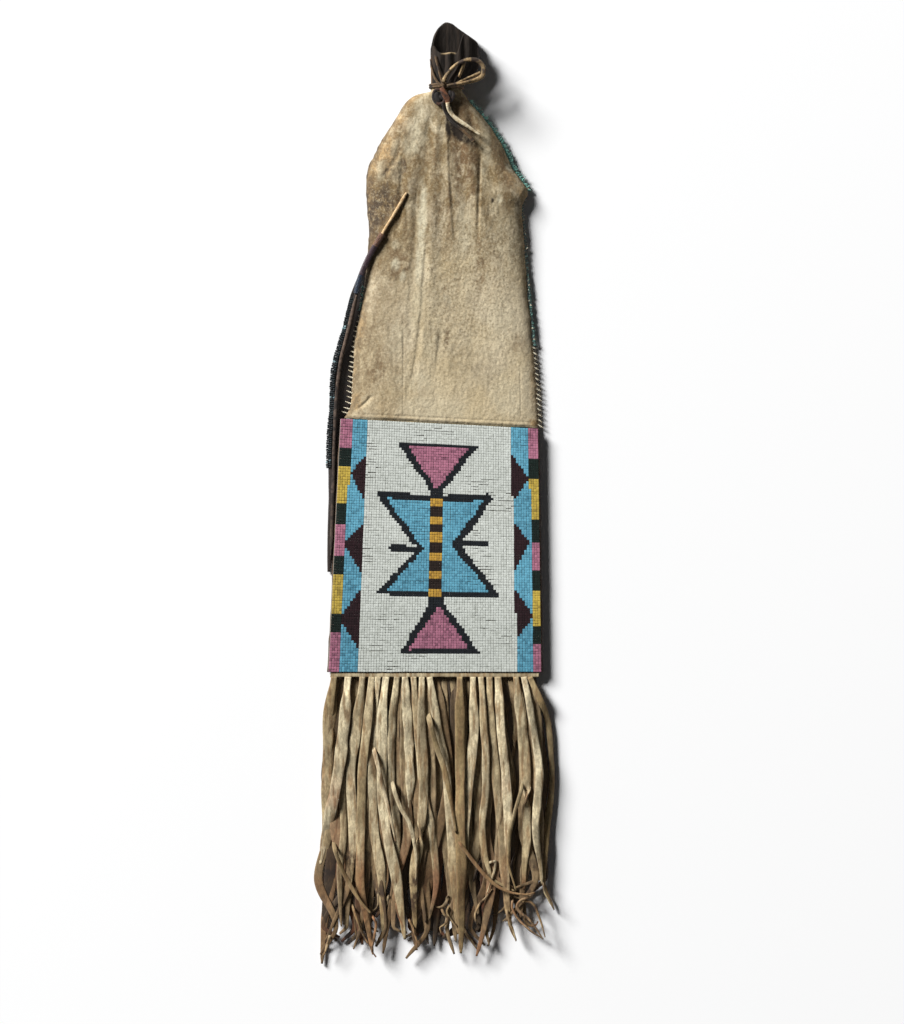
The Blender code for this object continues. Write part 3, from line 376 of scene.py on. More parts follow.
def thongFinish(name, bright, shade, dirt):
    # dry hide thong, cut by hand: dull, with dark grime in its turns and pale rubbed ridges
    made, tree, shader = newFinish(name, 0.78, specular=0.3, sheen=0.08)
    place = addNode(tree, "TexCoord").outputs["Object"]
    streak = addNode(tree, "TexNoise", {"Vector": place, "Scale": perMm(2.2), "Detail": 4.0})
    grime = addNode(tree, "TexNoise", {"Vector": place, "Scale": perMm(7.0), "Detail": 3.0})
    streak = addNode(tree, "MapRange", {0: streak, 1: 0.36, 2: 0.64})
    grime = addNode(tree, "MapRange", {0: grime, 1: 0.5, 2: 0.66})
    colour = addNode(tree, "Mix", {0: streak, 6: shade, 7: bright}, data_type="RGBA")
    age = addNode(tree, "Attribute", attribute_name="age")
    worn = addNode(tree, "Math", {0: grime, 1: age}, operation="ADD", use_clamp=True)
    colour = addNode(tree, "Mix", {0: worn, 6: colour, 7: dirt}, data_type="RGBA")
    bump = addNode(tree, "Bump", {"Height": streak, "Strength": 0.4, "Distance": 0.0003})
    setInputs(tree, shader, {"Base Color": colour, "Normal": bump})
    return made


def makeBow(tanThong, neckThong):
    # flat ovals carried along their routes; the loop rolls by 0.9 sin + 0.4 and swells by soft noise
    bow = evenly(tie["bow"], 60)
    along = np.linspace(0, 1, len(bow))
    roll = 0.9 * np.sin(along * 9.0) + 0.4
    swell = tie["thongRadius"] * (1 + 0.1 * softNoise(along * 14, 0.5, 11))
    rings = carried(bow, 2.7 * swell, 1.8 * swell, roll, 12, 2.6)
    age = 0.85 * ease((softNoise(along * 17, 2.5, 12) + 0.1) / 0.5)
    loop = closedSkins("bowLoop", [rings], tanThong, ["tie_bow"], {"age": [age]})

    rings = [carried(evenly(fromPhoto(route), count), wide, 0.0018, np.linspace(0.2, 1.1, count), 10, 2.4)
             for route, wide, count, age in tie["bowStrands"]]
    ages = [age for route, wide, count, age in tie["bowStrands"]]
    closedSkins("bowStrands", rings, tanThong, (), {"age": ages})
    rings = []
    for k, route in enumerate(tie["neckStrands"]):
        wide = 0.002 + 0.0004 * softNoise(np.linspace(0, 9, 40), 0.5, 27 + k)
        rings.append(carried(evenly(fromPhoto(route), 40), wide, 0.0014, 0.5, 10, 2.4))
    closedSkins("neckStrands", rings, neckThong, (), {"age": [0.1, 0.35]})


def makeTails(paleThong, wornThong):
    # the long tail is pale and thins to its tip; the short one swells, and is painted dark as shade near the
    # knot
    for name, node, finish, radius, length in (
            ("longTail", "tie_tail_long", paleThong, tie["longRadius"], tie["longLength"]),
            ("shortTail", "tie_tail_short", wornThong, tie["shortRadius"], tie["shortLength"])):
        line = evenly(tie[name], 48)
        along = np.linspace(0, 1, len(line))
        if name == "longTail":
            taper = 1 - 0.45 * ease((along - 0.55) / 0.45)
            age = 0.25 * ease(0.2 - along)
        else:
            taper = 0.8 + 0.25 * ease((along - 0.55) / 0.25)
            # painted shade near the knot
            age = 1.1 * ease((0.62 - along) / 0.15)
        wide = 2.3 * radius * taper * (1 + 0.12 * softNoise(along * 12, 3.5, 21))
        rings = carried(line, wide, 1.7 * radius * taper, 0.35 * np.sin(along * 7), 12, 2.8)
        tail = closedSkins(name, [rings], finish, [node], {"age": [age]})


def makeNeckTurns(neckThong):
    # two turns round the neck: x = middle + (half width + out) cos, z = middle + (half depth + out) sin
    angle = np.linspace(0, 2 * np.pi, tie["turnPoints"] + 1)[:-1]
    middle = (neckShape["left"] + neckShape["right"]) / 2
    round_ = 2 * np.pi * np.arange(10) / 10
    turns = []
    for side, seed in ((-1, 31), (1, 33)):
        out = 0.0007 + 0.00025 * softNoise(angle * 2.4, 0.5, seed)
        wide = (neckShape["right"] - neckShape["left"]) / 2 + out
        deep = neckShape["depth"] / 2 + out
        lean = 0.0004 * np.sin(angle + seed)
        ring = np.column_stack([middle + wide * np.cos(angle), tieMiddle[1] + side * tie["turnsApart"] + lean,
                                neckShape["height"] + deep * np.sin(angle)])
        outwards = np.column_stack([np.cos(angle), 0 * angle, np.sin(angle)])
        section = (outwards[:, None] * np.cos(round_)[:, None] * tie["turnWide"]
                   + np.array((0.0, 1.0, 0.0)) * np.sin(round_)[:, None] * tie["turnTall"])
        turns.append(ring[:, None] + section)
    # each turn is a closed loop, so its last ring is its first one again and the two ends meet inside it
    turns = [np.concatenate([turn, turn[:1]]) for turn in turns]
    closedSkins("neckTurns", turns, neckThong, ["tie_wrap"], {"age": [0.2, 0.35]})


def makeKnot(darkThong):
    # ovals carried round each other, each as wide as 0.55 + 0.45 sqrt(sin) of the way along it
    along = np.linspace(0, 1, 28)
    taper = 0.55 + 0.45 * np.sin(np.pi * np.clip(along, 0.03, 0.97)) ** 0.5
    roll = 0.3 * np.sin(along * 5)
    rings = [carried(evenly(fromPhoto(route), len(along)), wide * taper, thick * taper, roll, 12, 2.3)
             for route, wide, thick, age in tie["knotStrands"]]
    ages = [age for route, wide, thick, age in tie["knotStrands"]]
    closedSkins("thongKnot", rings, darkThong, ["tie_knot"], {"age": ages})


def makeTie():
    names = ("tanThongHide", "creamThongHide", "darkThongHide", "wornThongHide", "neckThongHide")
    tanThong, paleThong, darkThong, wornThong, neckThong = (thongFinish(name, *tie[name]) for name in names)
    makeBow(tanThong, neckThong)
    makeTails(paleThong, wornThong)
    makeNeckTurns(neckThong)
    makeKnot(darkThong)


makeTie()
print("tie is on")


# Pendant on the bag's left: a bare thong, its bead wrap, and a strap with a beaded edge

pendant = dict(
    # x, y, z and width along the thong's middle, from its bare tip down to the strap's end
    route=(
        (-0.0226, 0.3830, 0.01602, 0.0028), (-0.0256, 0.3779, 0.01591, 0.0028),
        (-0.0288, 0.3723, 0.01560, 0.0028), (-0.0322, 0.3667, 0.01498, 0.0026),
        (-0.0355, 0.3611, 0.01421, 0.0024), (-0.0387, 0.3562, 0.01423, 0.0024),
        (-0.0426, 0.3492, 0.01386, 0.0026), (-0.0466, 0.3426, 0.01297, 0.0028),
        (-0.0506, 0.3360, 0.01197, 0.0028), (-0.0544, 0.3286, 0.01052, 0.0028),
        (-0.0571, 0.3224, 0.00874, 0.0028), (-0.0594, 0.3163, 0.00724, 0.0028),
        (-0.0613, 0.3104, 0.00632, 0.0028), (-0.0626, 0.3048, 0.00620, 0.0030),
        (-0.0638, 0.2984, 0.00550, 0.0036), (-0.0661, 0.2880, 0.00480, 0.0046),
        (-0.0688, 0.2752, 0.00480, 0.0052), (-0.0722, 0.2640, 0.00460, 0.0052),
        (-0.0747, 0.2560, 0.00301, 0.0052), (-0.0770, 0.2472, 0.00150, 0.0052),
        (-0.0785, 0.2392, 0.00150, 0.0052), (-0.0792, 0.2304, 0.00150, 0.0052),
        (-0.0792, 0.2192, 0.00200, 0.0052), (-0.0798, 0.2080, 0.00400, 0.0052),
        (-0.0808, 0.1968, 0.00360, 0.0052), (-0.0817, 0.1856, 0.00163, 0.0052),
        (-0.0822, 0.1640, 0.00150, 0.0050), (-0.0830, 0.1376, 0.00150, 0.0048),
        (-0.0840, 0.1136, 0.00150, 0.0044), (-0.0846, 0.0928, 0.00150, 0.0036),
        (-0.0850, 0.0800, 0.00150, 0.0026)),
    points=190, thickness=0.0024, bareOver=0.35, cordDiameter=0.0052,
    skinLeftOf=-0.015, skinFrom=0.25, skinTo=0.4, restsOver=0.3, restsWithin=0.001,
    # where on the route the wrap and the beaded edge begin and end
    wrapRun=(6, 13), wrapRadius=0.0026, wrapPitch=0.00115, wrapAround=11, wrapBead=0.0011,
    edgingRun=(14, 26), edgingPitch=0.00175, edgingBead=(0.0019, 0.0017),
    edgingRows=((-0.0008, 0.0012), (0.0006, 0.0010), (0.0018, 0.0004)),  # outwards and up
    # share of the wrap, beads, colour and darkest bead
    wrapBands=((0.0, 0.21, "brownWrapBeads", "#7E5A44", "#4A2E26"),
               (0.21, 0.70, "maroonWrapBeads", "#3E232D", "#1E1016"),
               (0.70, 1.01, "navyWrapBeads", "#1C2D42", "#0C1119")),
    # in pixels: where pale beads paint the edging's glints as highlights, y with the flap's left and right
    # edge, and the rolled strand's route
    glints=((342, 328), (334, 360), (329, 398), (327, 462)),
    flap=(
        (266, 362.5, 366.5), (278, 357, 364.5), (293, 351, 363), (305, 347.5, 361), (320, 344.5, 358),
        (336, 340.5, 355.5), (356, 336, 354), (378, 331.5, 352), (400, 329, 351), (411, 328.5, 347),
        (418, 328.5, 341.5), (424, 328.5, 340.3), (450, 328, 338.8), (474, 328, 337.3), (520, 328.5, 334.5),
        (560, 328, 332.4)),
    rolled=(
        (356.5, 295), (352.5, 311), (348.5, 328), (345, 342), (341.5, 356), (338.5, 375), (336.3, 395),
        (335.2, 412), (334.4, 432), (333.8, 450), (333.2, 475), (332, 520), (330.6, 556)),
    flapThickness=0.0004, rolledWidth=0.0027, rolledThickness=0.0017, rolledOver=0.0019,
)


def glassFinish(name, colour, deep, roughness=0.3, lowShade=None, specular=0.5):
    # opaque glass seed beads: smooth but small and handled, so their gloss is soft, with painted shade low
    # between them
    made, tree, shader = newFinish(name, roughness, specular)
    tone = addNode(tree, "Attribute", attribute_name="tone")
    mixed = addNode(tree, "Mix", {0: tone, 6: deep, 7: colour}, data_type="RGBA")
    if lowShade:
        # painted shade fades in low between the beads, over these heights, in this colour
        low, high, grime = lowShade
        place = addNode(tree, "SeparateXYZ", {0: addNode(tree, "TexCoord").outputs["Object"]})
        height = addNode(tree, "MapRange", {0: place.outputs["Z"], 1: low, 2: high},
                         interpolation_type="SMOOTHSTEP")
        mixed = addNode(tree, "Mix", {0: height, 6: grime, 7: mixed}, data_type="RGBA")
    setInputs(tree, shader, {"Base Color": mixed})
    return made


def beadShapes(middles, ahead, length, thickness, sides=8, lift=None, square=2.0):
    # barrels: rings at -1, -0.82, 0.82 and 1 of half the length along ahead, the end ones 0.78 as wide
    middles = np.asarray(middles, float)
    count = len(middles)
    ahead = unit(np.broadcast_to(np.asarray(ahead, float), (count, 3)))
    helper = np.where(np.abs(ahead[:, 2:3]) > 0.9, (1.0, 0.0, 0.0), (0.0, 0.0, 1.0))
    one = unit(np.cross(ahead, helper))
    two = np.cross(one, ahead)
    at = np.array((-1.0, -0.82, 0.82, 1.0)) / 2
    share = np.array((0.78, 1.0, 1.0, 0.78)) / 2
    c, s = oval(sides, square)
    length, thickness, tall = (np.broadcast_to(size, (count,))[:, None, None, None]
                               for size in (length, thickness, thickness if lift is None else lift))
    return (middles[:, None, None] + ahead[:, None, None] * at[:, None, None] * length
            + one[:, None, None] * (share[:, None] * c)[..., None] * thickness
            + two[:, None, None] * (share[:, None] * s)[..., None] * tall)


def makeStrapFlap(line):
    # a thin dark flap between the strap and the bag: partly the strap's dark hide and partly painted shade
    # of that gap; a brown rolled strand lies along the strap
    edges = np.array(pendant["flap"], float)
    at = np.linspace(edges[0, 0], edges[-1, 0], 90)
    left, right = through(edges[:, 0], edges[:, 1], at), through(edges[:, 0], edges[:, 2], at)
    middle = fromPhoto(np.column_stack([(left + right) / 2, at]))
    wide = (right - left) * photoScale * (1 + 0.03 * softNoise(at / 9, 0.5, 46))
    path = np.column_stack([middle, 0.00034 + 0.00008 * softNoise(at / 12, 1.5, 47)])
    shadeFlapHide = thongFinish("shadeFlapHide", "#2A201A", "#1E1713", "#120E0B")
    rings = carried(path, wide, pendant["flapThickness"], 0.0, 14, 2.8)
    flap = closedSkins("strapShadeFlap", [rings], shadeFlapHide, (), {"age": [0.2]})

    route = evenly(fromPhoto(pendant["rolled"]), 120)
    order = np.argsort(line[:, 1])
    under = np.interp(route[:, 1], line[order, 1], line[order, 2])
    share = np.linspace(0, 1, len(route))
    wide = pendant["rolledWidth"] * (1 + 0.14 * softNoise(share * 26, 0.5, 48))
    wide = wide * (0.5 + 0.5 * ease(share / 0.04)) * (1 - 0.5 * ease((share - 0.94) / 0.06))
    path = np.column_stack([route, under + pendant["rolledOver"] + 0.0002 * softNoise(share * 18, 1.5, 49)])
    rolledHide = thongFinish("rolledStrapHide", "#715E50", "#4C3E35", "#211812")
    age = 0.05 + 0.35 * ease(softNoise(share * 12, 2.5, 50)) + 0.55 * ease((share - 0.3) / 0.25)
    rings = carried(path, wide, pendant["rolledThickness"], 0.5 * softNoise(share * 20, 3.5, 51), 12, 2.3)
    return flap, closedSkins("rolledStrand", [rings], rolledHide, (), {"age": [age]})


def pendantLine(skin):
    # the thong rests on the skin of the bag wherever that lies lower than part.py's route
    line = evenly(pendant["route"], pendant["points"])
    x, y = skin[:, 0], skin[:, 1]
    skin = skin[(x < pendant["skinLeftOf"]) & (y > pendant["skinFrom"]) & (y < pendant["skinTo"])]
    apart = (line[:, :1] - skin[:, 0]) ** 2 + (line[:, 1:2] - skin[:, 1]) ** 2
    radius = np.where(line[:, 1] > pendant["bareOver"], pendant["thickness"] / 2, pendant["wrapRadius"])
    rest = skin[apart.argmin(axis=1), 2] + radius
    touches = (apart.min(axis=1) < pendant["restsWithin"] ** 2) & (line[:, 1] > pendant["restsOver"])
    rest = np.where(touches, np.minimum(rest, line[:, 2]), line[:, 2])
    line[:, 2] = np.convolve(np.pad(rest, 6, mode="edge"), np.ones(13) / 13, mode="valid")
    return line


def windBeads(line, run, knotRun, rng):
    # beads wound round the thong, ring after ring: middle + r (cos across + sin over)
    first, last = knotRun[pendant["wrapRun"][0]] - 0.001, knotRun[pendant["wrapRun"][1]] + 0.002
    at = np.arange(first, last, pendant["wrapPitch"])
    centre = np.column_stack([np.interp(at, run, line[:, i]) for i in range(3)])
    ahead = unit(np.gradient(centre, axis=0))
    across = unit(np.cross(ahead, (0.0, 0.0, 1.0)))[:, None]
    over = np.cross(across, ahead[:, None])
    around, size = pendant["wrapAround"], pendant["wrapBead"]
    turn = 2 * np.pi * (np.arange(around) + 0.37 * np.arange(len(at))[:, None]) / around
    c, s = np.cos(turn)[..., None], np.sin(turn)[..., None]
    radius = pendant["wrapRadius"] - size / 2 - 0.0001
    middles = (centre[:, None] + (across * c + over * s) * radius).reshape(-1, 3)
    shapes = beadShapes(middles, (over * c - across * s).reshape(-1, 3), size * 1.12, size, 6)
    share = np.repeat((at - first) / (last - first), around)
    tone = rng.uniform(0.2, 1.0, len(middles))
    wraps = []
    for low, high, name, colour, deep in pendant["wrapBands"]:
        here = (share >= low) & (share < high)
        stands = ["pendant_bead_wrap"] if name == "maroonWrapBeads" else []
        glass = glassFinish(name, colour, deep)
        wraps.append(closedSkins(name, [shapes[here]], glass, stands, {"tone": [tone[here]]}))
    return wraps


def edgeBeads(line, run, knotRun, rng):
    # rows of beads along the strap's outer edge: dark, with a few pale blue ones as painted highlights
    first, last = (knotRun[k] for k in pendant["edgingRun"])
    at = np.arange(first, last, pendant["edgingPitch"])
    centre = np.column_stack([np.interp(at, run, line[:, i]) for i in range(4)])
    ahead = unit(np.gradient(centre[:, :3], axis=0))
    left = unit(np.column_stack([ahead[:, 1], -ahead[:, 0], 0 * ahead[:, 0]]))
    rows, tones, blue = [], [], []
    glints = fromPhoto(pendant["glints"])
    for step, rise in pendant["edgingRows"]:
        middles = centre[:, :3] + left * (centre[:, 3:] / 2 + step) + (0, 0, rise)
        middles[:, :2] += rng.uniform(-0.00025, 0.00025, (len(at), 2))
        rows.append(beadShapes(middles, left + ahead * 0.35, *pendant["edgingBead"], 7))
        tones.append(rng.uniform(0, 1, len(at)) ** 2)
        near = np.abs(middles[:, 1:2] - glints[:, 1]).min(axis=1)
        blue.append((near < 0.0016) & (rng.uniform(0, 1, len(at)) > 0.35))
    shapes, tones, blue = np.concatenate(rows), np.concatenate(tones), np.concatenate(blue)
    darkGlass = glassFinish("darkEdgingGlass", "#222B2D", "#0B0D0F", 0.5, None, 0.15)
    glintGlass = glassFinish("glintEdgingGlass", "#7C989C", "#3C5459")
    dark = closedSkins("pendantEdgingDark", [shapes[~blue]], darkGlass,
                       ["pendant_edge_beads"], {"tone": [tones[~blue]]})
    light = closedSkins("pendantEdgingGlint", [shapes[blue]], glintGlass, (),
                        {"tone": [tones[blue]]})
    return [dark, light]


def makePendant(skin):
    # an oval carried along the thong: rounded at its tip, and thinner and slightly rolled in the strap
    line = pendantLine(skin)
    run, knotRun = runAlong(line[:, :3]), runAlong(np.array(pendant["route"])[:, :3])
    wrapStart, strapStart = (knotRun[k] for k in pendant["wrapRun"])
    along = run / run[-1]
    tip = ease(along / 0.012)
    wide = line[:, 3] * (1 + 0.06 * softNoise(along * 30, 0.5, 41)) * (0.55 + 0.45 * tip)
    thick = pendant["thickness"] * (1 - 0.25 * ease((run - strapStart) / 0.02)) * (0.6 + 0.4 * tip)
    roll = 0.3 * softNoise(along * 16, 4.5, 43) * ease((run - strapStart) / 0.01)
    # pale and bare above the beads, then a smoke-dark strap
    age = -0.6 + 1.6 * ease((run - wrapStart + 0.002) / 0.004)
    rings = carried(line[:, :3], wide, thick, roll, 14, 2.6)
    strap = closedSkins("pendantThong", [rings], thongFinish("strapHide", "#D2B68C", "#B08E64", "#241B16"),
                        ["pendant_thong"], {"age": [age]})
    rng = np.random.default_rng(45)
    beads = windBeads(line, run, knotRun, rng) + edgeBeads(line, run, knotRun, rng)
    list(makeStrapFlap(line))


# Beadwork panel: one real bead for every square of the chart

panel = dict(
    beadWidth=0.00213, beadRow=0.00207, columns=80, rows=96, narrowing=0.0125, lean=0.0035, topDrop=0.008,
    hideThickness=0.0045, beadMiddle=0.00648, beadLength=0.00212, beadRound=0.00211, beadHeight=0.00086,
    # columns from the middle where the strips and bars begin: at the bottom row and at the top row
    leftGround=(29.5, 28.5), rightGround=(31.0, 28.9), leftBar=(36.5, 35.15), rightBar=(37.4, 36.2),
    leftBars=(96, 85, 78, 64, 56, 44, 37, 22, 15, 0), rightBars=(96, 84, 76, 60, 51, 40, 32, 18, 11, 0),
    # top, point and bottom row, and the point's depth
    leftDiamonds=((83, 75.5, 64.5, 6.3), (57, 48.5, 38, 7.4), (31.5, 20.5, 9, 7.6)),
    rightDiamonds=((85.5, 76, 66.5, 6.6), (59, 51, 39.5, 6.2), (32.5, 22, 13, 6.8)),
    stripe=(-3, 2), stripeRows=(67, 64, 60, 57, 54, 50, 46, 43, 39, 36, 32, 29),
    upperTriangle=((-12.3, 86.6), (-0.7, 70.2), (11.7, 86.6)),
    lowerTriangle=((-10.3, 8.6), (12.8, 9.3), (0.8, 25.6)),
    leftHalf=((-20.3, 66.7), (-5.3, 47.5), (-19.3, 31.1), (-3, 31.2), (-3, 65.6)),
    rightHalf=((2, 65.8), (2, 31.2), (20.3, 31.5), (5.7, 49.3), (18.2, 66.6)),
    motif=(
        (-16.7, 88.4), (-3.3, 70.2), (-3.3, 68.2), (-23.2, 69.2), (-24.6, 68.1), (-8.7, 48.5), (-18.3, 48.5),
        (-18.3, 46.1), (-8.9, 46.1), (-23.6, 29.6), (-3.3, 29.3), (-3.3, 25.4), (-13.8, 6.9), (17.2, 7.2),
        (3.3, 26.2), (3.3, 29.3), (24.7, 29.4), (9.8, 48.8), (19.6, 48.8), (19.6, 50.7), (10.1, 50.7),
        (21.8, 67.8), (19.8, 69.6), (2.3, 68.4), (2.3, 70.2), (16.2, 88.1)),
    strayAcross=0.45, strayUp=0.18,    # how far hand work strays from its outlines, in beads
    widestGap=0.00040, usualGap=0.00003,  # where rows part, and everywhere
    # beads: their colour and their darkest ones
    whiteBeads=("#D3D7D0", "#B4B8B0"), blueBeads=("#66AAC2", "#3A6F84"), pinkBeads=("#B4748A", "#6E4254"),
    yellowBeads=("#C8AD4A", "#85702E"), amberBeads=("#C59A3C", "#7C5C24"), blackBeads=("#1A1E22", "#0F1114"),
    brownBlackBeads=("#2A201B", "#17110E"), maroonBeads=("#2A191D", "#180D10"),
    greenBlackBeads=("#14201C", "#09100D"),
    darkBeads=("blackBeads", "brownBlackBeads", "greenBlackBeads", "maroonBeads"),
    # painted shade low between the beads: the heights it fades over, its colour on white and on other beads
    lowShadeRange=(0.0061, 0.0065), whiteLowShade="#98958C", otherLowShade="#141414",
    threadHeight=0.0063, threadWide=0.0004, threadTall=0.00034,
)


def onPanel(column, row):
    # the chart narrows and leans as it rises: x = lean * up + across * width, y = row - drop * up * across
    up, across = row / panel["rows"], column / panel["columns"]
    width = panel["columns"] * panel["beadWidth"] - panel["narrowing"] * up
    return panel["lean"] * up + across * width, row * panel["beadRow"] - panel["topDrop"] * up * across


def within(outline, x, y):
    # a point is inside if a ray to its right crosses the outline an odd number of times
    inside = np.zeros(np.shape(x), bool)
    for (x0, y0), (x1, y1) in zip(outline, outline[1:] + outline[:1]):
        crosses = (y0 > y) != (y1 > y)
        inside ^= crosses & (x < x0 + (y - y0) * (x1 - x0) / (y1 - y0 if y1 != y0 else 1.0))
    return inside


def beadChart(column, row):
    # which bead lies on each square: the motif, the stripe down its middle, then both sides' strips and bars
    side, away = np.sign(column), np.abs(column)
    strayed = (column + panel["strayAcross"] * softNoise(row / 2.3, column / 9.0, 63),
               row + panel["strayUp"] * softNoise(column / 5.0, row / 9.0, 64))
    kind = np.full(column.shape, "whiteBeads", dtype=object)
    for outline, beads in (("motif", "blackBeads"), ("upperTriangle", "pinkBeads"),
                           ("lowerTriangle", "pinkBeads"), ("leftHalf", "blueBeads"),
                           ("rightHalf", "blueBeads")):
        kind[within(panel[outline], *strayed)] = beads
    left, right = panel["stripe"]
    for k, (top, bottom) in enumerate(zip(panel["stripeRows"], panel["stripeRows"][1:])):
        block = (column > left) & (column < right) & (row > bottom) & (row < top)
        kind[block] = ("amberBeads", "brownBlackBeads")[k % 2]
    for way, word in ((-1, "left"), (1, "right")):
        inner, outer = (start + (end - start) * row / panel["rows"]
                        for start, end in (panel[word + "Ground"], panel[word + "Bar"]))
        kind[(side == way) & (away > inner)] = "blueBeads"
        for top, point, bottom, depth in panel[word + "Diamonds"]:
            diamond = within(((0, bottom), (depth, point), (0, top)), away - inner, strayed[1])
            kind[(side == way) & diamond] = "maroonBeads"
        for k, (top, bottom) in enumerate(zip(panel[word + "Bars"], panel[word + "Bars"][1:])):
            bar = (side == way) & (away > outer) & (row > bottom) & (row < top)
            kind[bar] = ("pinkBeads", "greenBlackBeads", "yellowBeads", "greenBlackBeads")[k % 4]
    return kind


def rowGaps(kind):
    # rows part here and there: a gap between two rows squeezes the beads on both sides of it
    edge = np.arange(panel["rows"] + 1)[:, None]
    across = np.arange(panel["columns"])[None]
    patch = ease((clouds(across / 11.0, edge / 9.0, 51) - 0.06) / 0.35)
    dash = ease((softNoise(across / 3.2, edge * 5.3, 55) - 0.12) / 0.25)
    usual = panel["usualGap"] * (0.5 + 0.5 * softNoise(across / 2.1, edge * 3.1, 57))
    gap = panel["widestGap"] * patch * dash + usual
    gap = gap * np.where(np.vstack([kind[:1], kind]) == "whiteBeads", 1.0, 0.4)
    gap[[0, -1]] = 0
    return gap[:-1], gap[1:]


def makeBeadwork():
    # a bead on each square: its middle from onPanel and a little strayed, its thickness less the gaps
    columns, rows = panel["columns"], panel["rows"]
    column, row = np.meshgrid(np.arange(columns) - columns / 2 + 0.5, np.arange(rows) + 0.5)
    kind = beadChart(column, row)
    lower, upper = rowGaps(kind)
    rng = np.random.default_rng(58)
    thick = panel["beadRound"] - (lower + upper) / 2
    wander = 0.06 * softNoise(row / 6.0, column / 2.0, 59)
    x, y = onPanel(column + 0.014 * rng.normal(size=column.shape) + wander, row)
    y = y + (lower - upper) / 2 + 0.00003 * rng.normal(size=column.shape)
    y = y + 0.00012 * softNoise(column / 9.0, row / 2.0, 60)
    z = panel["beadMiddle"] + 0.0001 * softNoise(column / 5.0, row / 5.0, 61)
    z = z + 0.00003 * rng.normal(size=column.shape)
    length = panel["beadLength"] * (1 - panel["narrowing"] / (columns * panel["beadWidth"]) * row / rows)
    length = length * rng.uniform(0.915, 0.955, column.shape)
    tall = panel["beadHeight"] * rng.uniform(0.93, 1.0, column.shape)
    tone = rng.beta(3.0, 1.6, column.shape) + 0.25 * clouds(column / 12, row / 12, 62)
    tone = np.clip(tone - 0.25 * ease((28 - row) / 8), 0, 1)  # handling darkens the lowest rows
    slope = np.array(onPanel(column + 0.5, row)) - np.array(onPanel(column - 0.5, row))
    tilt = 0.04 * panel["beadWidth"] * rng.normal(size=column.shape)
    ahead = unit(np.stack([slope[0], slope[1] + tilt, 0 * slope[0]], axis=-1))
    middle = np.stack([x, y, z], axis=-1)

    sides = ("left", "right")
    nodes = dict(
        whiteBeads=("white_beads", ["white_ground"]),
        blackBeads=("black_beads", ["motif_outline"]),
        pinkBeads=("pink_beads", ["upper_pink_triangle", "lower_pink_triangle",
                                  *(f"{side}_bar_{k}_pink" for side in sides for k in (1, 5, 9))]),
        blueBeads=("blue_beads", ["hourglass_left", "hourglass_right",
                                  "left_blue_strip", "right_blue_strip"]),
        amberBeads=("amber_beads", [f"stripe_yellow_{k}" for k in range(1, 7)]),
        brownBlackBeads=("brown_black_beads", [f"stripe_dark_{k}" for k in range(1, 6)]),
        maroonBeads=("maroon_beads", [f"{side}_half_diamond_{k}" for side in sides for k in (1, 2, 3)]),
        greenBlackBeads=("green_black_beads",
                         [f"{side}_bar_{k}_dark" for side in sides for k in (2, 4, 6, 8)]),
        yellowBeads=("yellow_beads", [f"{side}_bar_{k}_yellow" for side in sides for k in (3, 7)]),
    )
    for name, (slot, stands) in nodes.items():
        lowShade = (*panel["lowShadeRange"], panel["whiteLowShade" if name == "whiteBeads" else "otherLowShade"])
        roughness, specular = (0.5, 0.12) if name in panel["darkBeads"] else (0.36, 0.4)
        glass = glassFinish(name, *panel[name], roughness, lowShade, specular)
        parts = {"": kind == name}
        if name == "whiteBeads":  # two pieces, upper and lower; two pieces, each within the limit on triangles
            high = row > row.max() / 2
            parts = {"Upper": parts[""] & high, "Lower": parts[""] & ~high}
        for word, here in parts.items():
            shapes = beadShapes(middle[here], ahead[here], length[here], thick[here], 8, tall[here], 4.6)
            closedSkins(name + word, [shapes], glass, stands, {"tone": [tone[here]]}, rounded=False)


